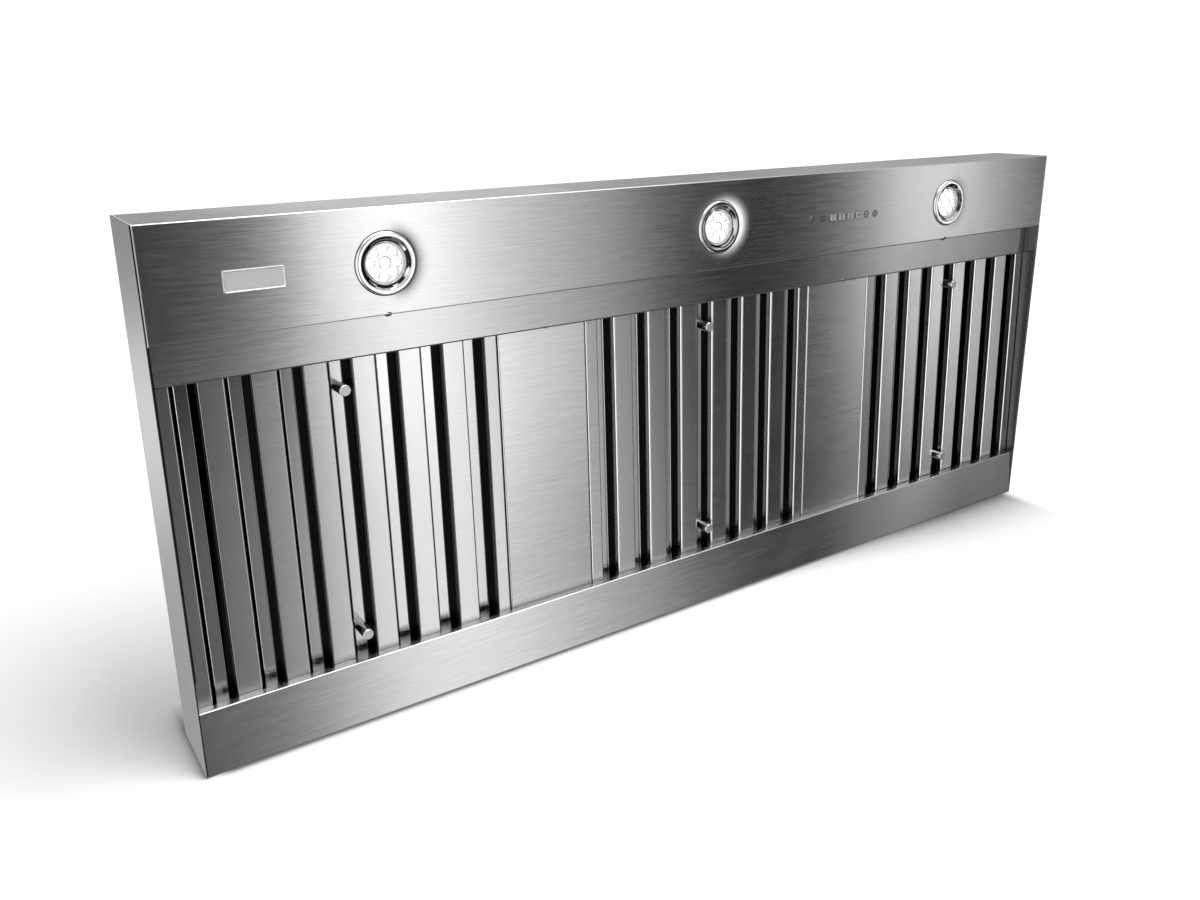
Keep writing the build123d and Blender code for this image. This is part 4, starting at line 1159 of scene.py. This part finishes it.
@dataclass
class MakersPlate:
    """The bare plate on the light panel: a crowned face in a bright rolled border."""

    border: float = 1.5 * MM
    corner: float = 1.9 * MM

    def build(self, materials: dict[str, bpy.types.Material]) -> None:
        """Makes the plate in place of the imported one."""
        low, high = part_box("badge_plate")
        middle = (low + high) / 2.0
        width, thick, height = high - low
        shape = Shape()
        bm = shape.bm
        made = bmesh.ops.create_cube(bm, size=1.0)["verts"]
        bmesh.ops.scale(bm, vec=(width, thick, height), verts=made)
        upright = [e for e in bm.edges if abs(e.verts[0].co.y - e.verts[1].co.y) > thick / 2.0]
        bmesh.ops.bevel(bm, geom=upright, offset=self.corner, offset_type="OFFSET", segments=5, profile=0.5,
                        affect="EDGES", material=-1)
        face = min((f for f in bm.faces if abs(f.normal.y) > 0.9), key=lambda f: f.calc_center_median().y)
        for inset, rise in ((0.5 * MM, 0.0), (0.45 * MM, 0.0), (0.4 * MM, 0.5 * MM), (0.35 * MM, 0.1 * MM)):
            bmesh.ops.inset_region(bm, faces=[face], thickness=inset, depth=0.0, use_even_offset=True)
            bmesh.ops.translate(bm, vec=(0.0, rise, 0.0), verts=face.verts[:])
        rim = [e for e in bm.edges if all(abs(v.co.y + thick / 2.0) < 1e-6 for v in e.verts)
               and any(abs(f.normal.y) < 0.5 for f in e.link_faces)]
        bmesh.ops.bevel(bm, geom=rim, offset=0.4 * MM, offset_type="OFFSET", segments=4, profile=0.5,
                        affect="EDGES", material=-1)
        bmesh.ops.translate(bm, vec=middle, verts=bm.verts[:])
        shape.piece("plain_plate", materials["badge_metal"], "shell", "badge_metal", replaces=("badge_plate",),
                    sharp=12.0)


@dataclass
class ControlMarks:
    """Printed marks beside and on the buttons: a lamp, a fan and the numbers of the speeds."""

    ink: float = 0.05 * MM
    height: float = 5.6 * MM
    lamp_x: float = 178.5 * MM
    fan_x: float = 262.0 * MM

    def build(self, ink: bpy.types.Material) -> None:
        """Makes the marks.

        Args:
            ink: The finish of the printing.
        """
        low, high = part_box("light_button")
        self.z = (low.z + high.z) / 2.0
        self.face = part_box("front_light_panel")[0].y
        self._lamp(ink)
        self._fan(ink)
        self._numbers(ink)

    def _lamp(self, ink: bpy.types.Material) -> None:
        """Draws a lamp's half round with three rays."""
        shape = Shape()
        y = self.face - self.ink / 2.0
        reach, line = 3.8 * MM, 1.3 * MM
        for step in range(9):
            turn = math.radians(-90.0 + 180.0 * step / 8.0)
            place = (self.lamp_x + 0.8 * MM + reach * math.cos(turn), y, self.z + reach * math.sin(turn))
            shape.block(place, (line, self.ink, 1.9 * MM), turn=-math.degrees(turn))
        shape.block((self.lamp_x + 0.5 * MM, y, self.z), (line, self.ink, 8.4 * MM))
        for row in (-1, 0, 1):
            shape.block((self.lamp_x - 3.4 * MM, y, self.z + row * 2.8 * MM - 0.2 * MM), (4.4 * MM, self.ink, line),
                        turn=8.0)
        shape.piece("lamp_mark", ink, "shell", "dark_plastic")

    def _fan(self, ink: bpy.types.Material) -> None:
        """Draws a fan as a hub and six blades."""
        shape = Shape()
        disc = [(0.0, 0.0), (1.2 * MM, 0.0), (1.2 * MM, self.ink), (0.0, self.ink)]
        shape.spin(disc, (self.fan_x, self.face - self.ink, self.z), 20)
        for blade in range(6):
            turn = math.radians(60.0 * blade)
            reach = 3.9 * MM
            place = (self.fan_x + reach * math.cos(turn), self.face - self.ink, self.z + reach * math.sin(turn))
            shape.spin([(radius * 1.2, along) for radius, along in disc], place, 20)
        shape.piece("fan_mark", ink, "shell", "dark_plastic")

    def _numbers(self, ink: bpy.types.Material) -> None:
        """Prints 1 to 4 on the speed buttons."""
        for number in range(1, 5):
            low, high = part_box(f"speed_button_{number}")
            text = bpy.data.curves.new(f"number_{number}", "FONT")
            text.body = str(number)
            text.size = self.height / 0.7
            text.align_x, text.align_y = "CENTER", "CENTER"
            text.extrude = self.ink / 2.0
            text.offset = 0.2 * MM
            text.resolution_u = 4
            holder = bpy.data.objects.new(f"number_{number}_source", text)
            mesh = bpy.data.meshes.new_from_object(holder)
            bpy.data.objects.remove(holder)
            upright = Matrix.Translation(((low.x + high.x) / 2.0, low.y - self.ink / 4.0, (low.z + high.z) / 2.0))
            mesh.transform(upright @ Matrix.Rotation(math.radians(90.0), 4, "X"))
            hang(mesh, f"number_mark_{number}", ink, f"speed_button_{number}")


@dataclass
class DeckFasteners:
    """Cross-recessed deck screws and blind rivets, in place of the plain packed ones."""

    recess: float = 4.2 * MM
    recess_width: float = 1.0 * MM
    recess_depth: float = 1.5 * MM
    deck_face: float = 23.0 * MM

    def build(self, materials: dict[str, bpy.types.Material]) -> None:
        """Makes both groups of fasteners.

        Args:
            materials: The material of each slot.
        """
        steel = materials["fastener_steel"]
        self._screws(steel)
        self._rivets(steel)

    @staticmethod
    def centres(node: str) -> list[tuple[Vector, Vector]]:
        """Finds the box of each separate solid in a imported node.

        Args:
            node: The node's name.

        Returns:
            The lowest and highest corner of each solid, in a fixed order.
        """
        bm = bmesh.new()
        bm.from_mesh(bpy.data.objects[node].data)
        bmesh.ops.remove_doubles(bm, verts=bm.verts[:], dist=1e-6)
        left = set(bm.verts)
        boxes = []
        while left:
            group, edge = set(), [left.pop()]
            while edge:
                vert = edge.pop()
                group.add(vert)
                near = {e.other_vert(vert) for e in vert.link_edges} & left
                left -= near
                edge.extend(near)
            axes = list(zip(*(v.co for v in group)))
            boxes.append((Vector(map(min, axes)), Vector(map(max, axes))))
        bm.free()
        return sorted(boxes, key=lambda pair: tuple(round(part, 5) for part in pair[0]))

    def _screws(self, steel: bpy.types.Material) -> None:
        """Makes pan heads with a cross recess, each on its shank."""
        shape = Shape()
        for low, high in self.centres("deck_screws"):
            middle = (low + high) / 2.0
            radius = (high.x - low.x) / 2.0
            seat = self.deck_face
            top = high.y
            self._head(shape, (middle.x, middle.z), radius, seat, top)
            shank = [(0.0, low.y - seat), (0.3 * radius, low.y - seat), (0.47 * radius, low.y - seat + 1.0 * MM),
                     (0.47 * radius, -0.02 * MM)]
            shape.spin(shank, (middle.x, seat, middle.z), 16)
        shape.piece("deck_screw_set", steel, "shell", "fastener_steel", replaces=("deck_screws",))

    def _head(self, shape: Shape, at: tuple[float, float], radius: float, seat: float, top: float) -> None:
        """Builds one pan head with its cross.

        Args:
            shape: The shape that takes it.
            at: The screw's axis, as X and Z.
            radius: The head's radius.
            seat: Y of the face that the head sits on.
            top: Y of the top of the head.
        """
        x, z = at
        bm = shape.bm
        arm, half = self.recess / 2.0, self.recess_width / 2.0
        square = bmesh.ops.create_grid(bm, x_segments=1, y_segments=1, size=half)["verts"]
        bmesh.ops.rotate(bm, cent=(0.0, 0.0, 0.0), matrix=Matrix.Rotation(math.radians(-90.0), 3, "X"), verts=square)
        sides = list({e for v in square for e in v.link_edges})
        cross = set(square)
        for side in sides:
            way = (side.verts[0].co + side.verts[1].co).normalized()
            grown = bmesh.ops.extrude_edge_only(bm, edges=[side])["geom"]
            tips = [part for part in grown if isinstance(part, bmesh.types.BMVert)]
            bmesh.ops.translate(bm, vec=way * (arm - half), verts=tips)
            cross |= set(tips)
        rim = [e for e in {e for v in cross for e in v.link_edges} if len(e.link_faces) == 1]
        bottom = [f for f in {f for v in cross for f in v.link_faces}]
        outline = bmesh.ops.extrude_edge_only(bm, edges=rim)["geom"]
        lip = [part for part in outline if isinstance(part, bmesh.types.BMVert)]
        lip_edges = [part for part in outline if isinstance(part, bmesh.types.BMEdge)
                     and all(v in lip for v in part.verts)]
        bmesh.ops.scale(bm, vec=(0.8, 1.0, 0.8), verts=list({v for f in bottom for v in f.verts}))
        bmesh.ops.translate(bm, vec=(0.0, self.recess_depth, 0.0), verts=lip)
        ring = bmesh.ops.create_circle(bm, cap_ends=False, radius=0.78 * radius, segments=12)["verts"]
        bmesh.ops.rotate(bm, cent=(0.0, 0.0, 0.0), matrix=Matrix.Rotation(math.radians(-90.0), 3, "X"), verts=ring)
        bmesh.ops.translate(bm, vec=(0.0, self.recess_depth - 0.12 * MM, 0.0), verts=ring)
        ring_edges = list({e for v in ring for e in v.link_edges})
        bmesh.ops.bridge_loops(bm, edges=lip_edges + ring_edges)
        last, made = ring_edges, set(cross) | set(lip) | set(ring)
        for wide, drop in ((1.16, 0.35), (1.08, 0.5), (1.0, 0.0)):
            out = bmesh.ops.extrude_edge_only(bm, edges=last)["geom"]
            verts = [part for part in out if isinstance(part, bmesh.types.BMVert)]
            last = [part for part in out if isinstance(part, bmesh.types.BMEdge)
                    and all(v in verts for v in part.verts)]
            bmesh.ops.scale(bm, vec=(wide, 1.0, wide), verts=verts)
            fall = -drop * MM if drop else (seat - top) - (verts[0].co.y - self.recess_depth)
            bmesh.ops.translate(bm, vec=(0.0, fall, 0.0), verts=verts)
            made |= set(verts)
        bmesh.ops.translate(bm, vec=(x, top - self.recess_depth, z), verts=list(made))

    def _rivets(self, steel: bpy.types.Material) -> None:
        """Makes blind rivets with the broken stem in their middle."""
        shape = Shape()
        for low, high in self.centres("collar_rivets"):
            middle = (low + high) / 2.0
            radius = (high.x - low.x) / 2.0
            seat = high.y - 1.6 * MM
            profile = [(0.0, 1.05 * MM), (0.24 * radius, 1.0 * MM), (0.28 * radius, 0.7 * MM),
                       (0.34 * radius, 0.72 * MM), (0.4 * radius, 1.45 * MM), (0.55 * radius, 1.6 * MM),
                       (0.8 * radius, 1.25 * MM), (0.96 * radius, 0.55 * MM), (radius, 0.0),
                       (0.5 * radius, -0.02 * MM), (0.5 * radius, low.y - seat + 0.2 * MM),
                       (0.35 * radius, low.y - seat), (0.0, low.y - seat)]
            shape.spin(profile, (middle.x, seat, middle.z), 24)
        shape.piece("collar_rivet_set", steel, "shell", "fastener_steel", replaces=("collar_rivets",))


@dataclass
class BackChannels:
    """The channels behind a filter's gaps, whose edges flare out to both sides."""

    number: int
    count: int = 7
    width: float = 35.0 * MM
    flat: float = 13.0 * MM
    lip: float = 2.2 * MM
    sheet: float = 0.8 * MM
    bend: float = 1.0 * MM
    slope: float = 1.6

    def build(self, materials: dict[str, bpy.types.Material]) -> None:
        """Makes the filter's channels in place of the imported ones.

        Args:
            materials: The material of each slot.
        """
        node = f"filter_{self.number}_back_baffles"
        low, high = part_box(node)
        tilt = math.radians(self.slope)
        along = Vector((0.0, math.sin(tilt), math.cos(tilt)))
        depth = Vector((0.0, math.cos(tilt), -math.sin(tilt)))
        start, end, edge, back = self._spans(node, along, depth)
        half = self.width / 2.0
        section = [(-half, edge), (-half, edge + self.lip), (-self.flat / 2.0, back), (self.flat / 2.0, back),
                   (half, edge + self.lip), (half, edge)]
        pitch = (high.x - low.x - self.width) / (self.count - 1)
        shape = Shape()
        bm = shape.bm
        verts = [bm.verts.new(Vector((low.x + half + across, 0.0, 0.0)) + depth * deep + along * start)
                 for across, deep in section]
        edges = [bm.edges.new(pair) for pair in zip(verts, verts[1:])]
        grown = bmesh.ops.extrude_edge_only(bm, edges=edges)["geom"]
        tips = [part for part in grown if isinstance(part, bmesh.types.BMVert)]
        bmesh.ops.translate(bm, vec=along * (end - start), verts=tips)
        folds = [e for e in bm.edges if len(e.link_faces) == 2]
        bmesh.ops.bevel(bm, geom=folds, offset=self.bend, offset_type="OFFSET", segments=3, profile=0.5,
                        affect="EDGES", material=-1)
        bmesh.ops.recalc_face_normals(bm, faces=bm.faces[:])
        flat = max(bm.faces, key=lambda face: face.calc_area())
        inward = self.sheet if flat.normal.dot(depth) > 0.0 else -self.sheet
        bmesh.ops.solidify(bm, geom=bm.faces[:], thickness=inward)
        shape.copies([(pitch * step, 0.0, 0.0) for step in range(1, self.count)])
        shape.piece(f"filter_{self.number}_back_channels", materials["back_baffle_steel"], f"filter_{self.number}",
                    "back_baffle_steel", replaces=(node,), sharp=5.0)

    def _spans(self, node: str, along: Vector, depth: Vector) -> tuple[float, float, float, float]:
        """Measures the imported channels.

        Args:
            node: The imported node.
            along: The direction of the channels.
            depth: The direction from their edges to their backs.

        Returns:
            Where they start and end along their direction, and the depths of their edges and backs.
        """
        spots = [vertex.co for vertex in bpy.data.objects[node].data.vertices]
        runs = [spot.dot(along) for spot in spots]
        depths = [spot.dot(depth) for spot in spots]
        return min(runs), max(runs), min(depths), max(depths)


@dataclass
class SeamDetails:
    """Small things along the seams: hole plugs, filler tabs, and a dark edge seal that also stands in for shade."""

    panel_edge: float = 453.0 * MM

    def build(self, materials: dict[str, bpy.types.Material]) -> None:
        """Makes the seam pieces.

        Args:
            materials: The material of each slot.
        """
        self._plugs(materials["dark_plastic"])
        self._tabs(materials["rail_steel"])
        self._rail_seal(materials["dark_plastic"])

    def _plugs(self, rubber: bpy.types.Material) -> None:
        """Sets a low plug under the panel's return below each outer light."""
        low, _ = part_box("front_light_panel")
        for number, name in ((1, "left"), (3, "right")):
            lamp_low, lamp_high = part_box(f"light_{number}_lens")
            x = (lamp_low.x + lamp_high.x) / 2.0
            dome = [(0.0, 0.0), (1.8 * MM, 0.2 * MM), (3.3 * MM, 0.95 * MM), (4.2 * MM, 2.4 * MM), (0.0, 2.4 * MM)]
            shape = Shape().spin(dome, (0.0, 0.0, 0.0), 24)
            bmesh.ops.rotate(shape.bm, cent=(0.0, 0.0, 0.0), matrix=Matrix.Rotation(math.radians(90.0), 3, "X"),
                             verts=shape.bm.verts[:])
            bmesh.ops.translate(shape.bm, vec=(x, low.y + 4.5 * MM, self.panel_edge - 2.38 * MM),
                                verts=shape.bm.verts[:])
            shape.piece(f"flange_plug_{name}", rubber, "shell", "dark_plastic")

    def _rail_seal(self, rubber: bpy.types.Material) -> None:
        """Slips a thin dark edge seal over the rail's lower edge, where it also stands in for the shade line along that
        edge.
        """
        low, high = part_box("front_filter_rail")
        middle = ((low.x + high.x) / 2.0, low.y + 0.35 * MM, low.z + 0.25 * MM)
        Shape().block(middle, (high.x - low.x - 1.0 * MM, 1.0 * MM, 1.5 * MM), 0.3 * MM).piece(
            "rail_edge_seal", rubber, "shell", "dark_plastic")

    def _tabs(self, steel: bpy.types.Material) -> None:
        """Bends a small tab down from the rail in front of the middle of each filler."""
        low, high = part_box("front_filter_rail")
        for name in ("left", "right"):
            panel_low, panel_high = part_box(f"filler_panel_{name}")
            x = (panel_low.x + panel_high.x) / 2.0
            shape = Shape().block((x, low.y + 0.5 * MM, low.z - 0.3 * MM), (5.0 * MM, 0.8 * MM, 2.0 * MM), 0.3 * MM)
            shape.piece(f"filler_tab_{name}", steel, "shell", "rail_steel")


# ---------------------------------------------------------------------------
# Dressing of the imported model
# ---------------------------------------------------------------------------

# Painted light and shade on the filters' folded sheet: a highlight on bends facing left and forward, shade on faces
# looking left or right, and the back channels' sloping sides painted almost black as shade.
BENDS = (Shade((-0.85, -0.527, 0.0), 0.82, 0.95, 1.6), Shade((-1.0, 0.0, 0.0), 0.93, 0.99, 0.4),
         Shade((1.0, 0.0, 0.0), 0.3, 0.6, 0.12))
SHADY_BENDS = (Shade((-1.0, 0.0, 0.0), 0.2, 0.5, 0.1), Shade((1.0, 0.0, 0.0), 0.3, 0.6, 0.12))
PAINTED_SHADE_BACK_SIDES = (Shade((-1.0, 0.0, 0.0), 0.12, 0.4, 0.006), Shade((1.0, 0.0, 0.0), 0.12, 0.4, 0.006))


@dataclass
class SheetMetalwork:
    """Finishes for the folded shell, rails, fillers, filters and everything behind them."""

    effects: SharedEffects
    lamps: tuple[tuple[float, float], ...]

    def finishes(self) -> dict[str, Finish]:
        """Gives the finish of each material slot in the record."""
        # Brightness changes along the sheets below are painted light and shade.
        return {
            "panel_steel": LampPanelSteel("panel_steel", tone=0.62, lamps=self.lamps,
                                          drifts=(Drift("X", -0.665, -0.5, 0.7, 1.0),)),
            "side_steel": self.wall_steel("side_steel"),
            "trough_steel": BrushedSteel("trough_steel", tone=0.62, drifts=(
                Drift("X", 0.2, 0.32, 1.0, 1.28), Drift("X", 0.36, 0.55, 1.0, 0.42))),
            "rail_steel": BrushedSteel("rail_steel", tone=0.58, drifts=(Drift("X", 0.28, 0.46, 1.0, 0.66),)),
            "filler_steel": BrushedSteel("filler_steel", tone=0.61, drifts=(Drift("Z", 0.1, 0.4, 0.88, 1.26),)),
            "filter_frame_steel": BrushedSteel("filter_frame_steel", tone=0.6, shades=BENDS),
            "front_baffle_steel": BrushedSteel("front_baffle_steel", tone=0.61, roughness=0.2, contrast=0.04,
                                               relief=0.0012, shades=BENDS),
            "back_baffle_steel": BrushedSteel("back_baffle_steel", tone=0.58, roughness=0.1, contrast=0.03,
                                              relief=0.002, shades=PAINTED_SHADE_BACK_SIDES),
            "knob_steel": SatinMetal("knob_steel", tone=0.66, roughness=0.28),
            "bezel_steel": SatinMetal("bezel_steel", tone=0.75, roughness=0.08, contrast=0.03, relief=0.02),
            "lens_clear": ClearLens("lens_clear"),
            "led_board": Moulded("led_board", colour=(0.85, 0.86, 0.86), roughness=0.45),
            "can_aluminium": SatinMetal("can_aluminium", tone=0.56, roughness=0.35),
            "spring_steel": SatinMetal("spring_steel", tone=0.5, warmth=0.02, roughness=0.3),
            "badge_metal": SatinMetal("badge_metal", tone=0.86, roughness=0.48, contrast=0.04),
            "button_metal": SatinMetal("button_metal", tone=0.3, roughness=0.2),
            "number_button_metal": NumberButtonMetal("number_button_metal", first=node_axis("speed_button_1")),
            "deck_steel": Galvanised("deck_steel"),
            "board": Moulded("board", colour=(0.06, 0.25, 0.14), roughness=0.4),
            "dark_plastic": Moulded("dark_plastic"),
            "driver_plastic": Moulded("driver_plastic", colour=(0.78, 0.78, 0.77), roughness=0.48),
            "box_steel": Galvanised("box_steel", tone=0.5),
            "collar_steel": Galvanised("collar_steel", tone=0.55, roughness=0.34),
            "rod_steel": SatinMetal("rod_steel", tone=0.45, roughness=0.25),
            "flap_aluminium": SatinMetal("flap_aluminium", tone=0.66, roughness=0.32),
            "fastener_steel": SatinMetal("fastener_steel", tone=0.66, warmth=0.02, roughness=0.28),
        }

    def dress(self, frame: dict) -> dict[str, bpy.types.Material]:
        """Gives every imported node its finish.


        Returns:
            The material of each slot.
        """
        materials = {slot: finish.build(self.effects) for slot, finish in self.finishes().items()}
        for name, node in frame["nodes"].items():
            slot = self.slot_of(node)
            LOG.info("node %s takes finish %s", name, slot)
            finish = self.own_finish(name, slot) or materials[slot]
            for index in range(len(node.material_slots)):
                node.material_slots[index].material = finish
        return materials

    @staticmethod
    def wall_steel(name: str, inward: float = 1.0) -> BrushedSteel:
        """Gives a side wall's sheet: brushed along Z, with painted shade on its front rim and on its face towards the
        filters.
        """
        # Painted shade: the front rim almost black, the face towards the filters darker.
        shades = (Shade((0.0, -1.0, 0.0), 0.1, 0.55, 0.03), Shade((inward, 0.0, 0.0), 0.4, 0.8, 0.2))
        return BrushedSteel(name, tone=0.62, roughness=0.24, grain=Grain.ALONG_Z, contrast=0.012, relief=0.0,
                            width=0.002, shades=shades)

    def own_finish(self, name: str, slot: str) -> bpy.types.Material | None:
        """Gives the finish of a node that differs from the rest of its slot, or None."""
        if slot == "knob_steel":
            return self.knob(name)
        if name == "right_side_wall":
            return self.wall_steel("right_side_steel", -1.0).build(self.effects)
        if name == "filler_panel_right":
            # Painted light: the right filler brightens upwards and towards its right end.
            drifts = (Drift("Z", 0.1, 0.4, 1.0, 1.4), Drift("X", 0.19, 0.29, 1.12, 1.42))
            return BrushedSteel("right_filler_steel", tone=0.6, drifts=drifts).build(self.effects)
        if name in ("filter_1_front_baffles", "filter_1_side_rails"):
            # Painted shade: the first filter's channel sides are painted darker on both sides.
            steel = BrushedSteel(f"{name}_steel", tone=0.61, roughness=0.2, contrast=0.04, relief=0.0012,
                                 shades=SHADY_BENDS)
            return steel.build(self.effects)
        return None

    def knob(self, name: str) -> bpy.types.Material:
        """Gives a filter's pair of knobs turning marks about their own axes."""
        low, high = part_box(name)
        x, z = node_axis(name)
        apart = (high.z - low.z) - (high.x - low.x)
        return TurnedMetal(f"turned_{name}", centre=(x, 0.0, z), apart=apart).build(self.effects)

    def slot_of(self, node: bpy.types.Object) -> str:
        """Reads which record slot a node was packed with."""
        return node.material_slots[0].material.name.split(".")[0]


def node_axis(name: str) -> tuple[float, float]:
    """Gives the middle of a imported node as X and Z."""
    low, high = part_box(name)
    return (low.x + high.x) / 2.0, (low.z + high.z) / 2.0


def main() -> None:
    """Builds the looks in order."""
    logging.basicConfig(level=logging.INFO, format="%(message)s")
    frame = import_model()
    PhotoCamera().build()
    Studio().build()
    effects = SharedEffects()
    lamps = tuple(node_axis(f"light_{number}_lens") for number in LAMPS)
    materials = SheetMetalwork(effects, lamps).dress(frame)
    for number in LAMPS:
        LightFitting(number, effects).build(materials)
    MakersPlate().build(materials)
    ControlMarks().build(Moulded("printed_ink", colour=(0.03, 0.03, 0.032), roughness=0.6).build(effects))
    DeckFasteners().build(materials)
    for number in FILTERS:
        BackChannels(number).build(materials)
    SeamDetails().build(materials)


if __name__ == "__main__":
    main()
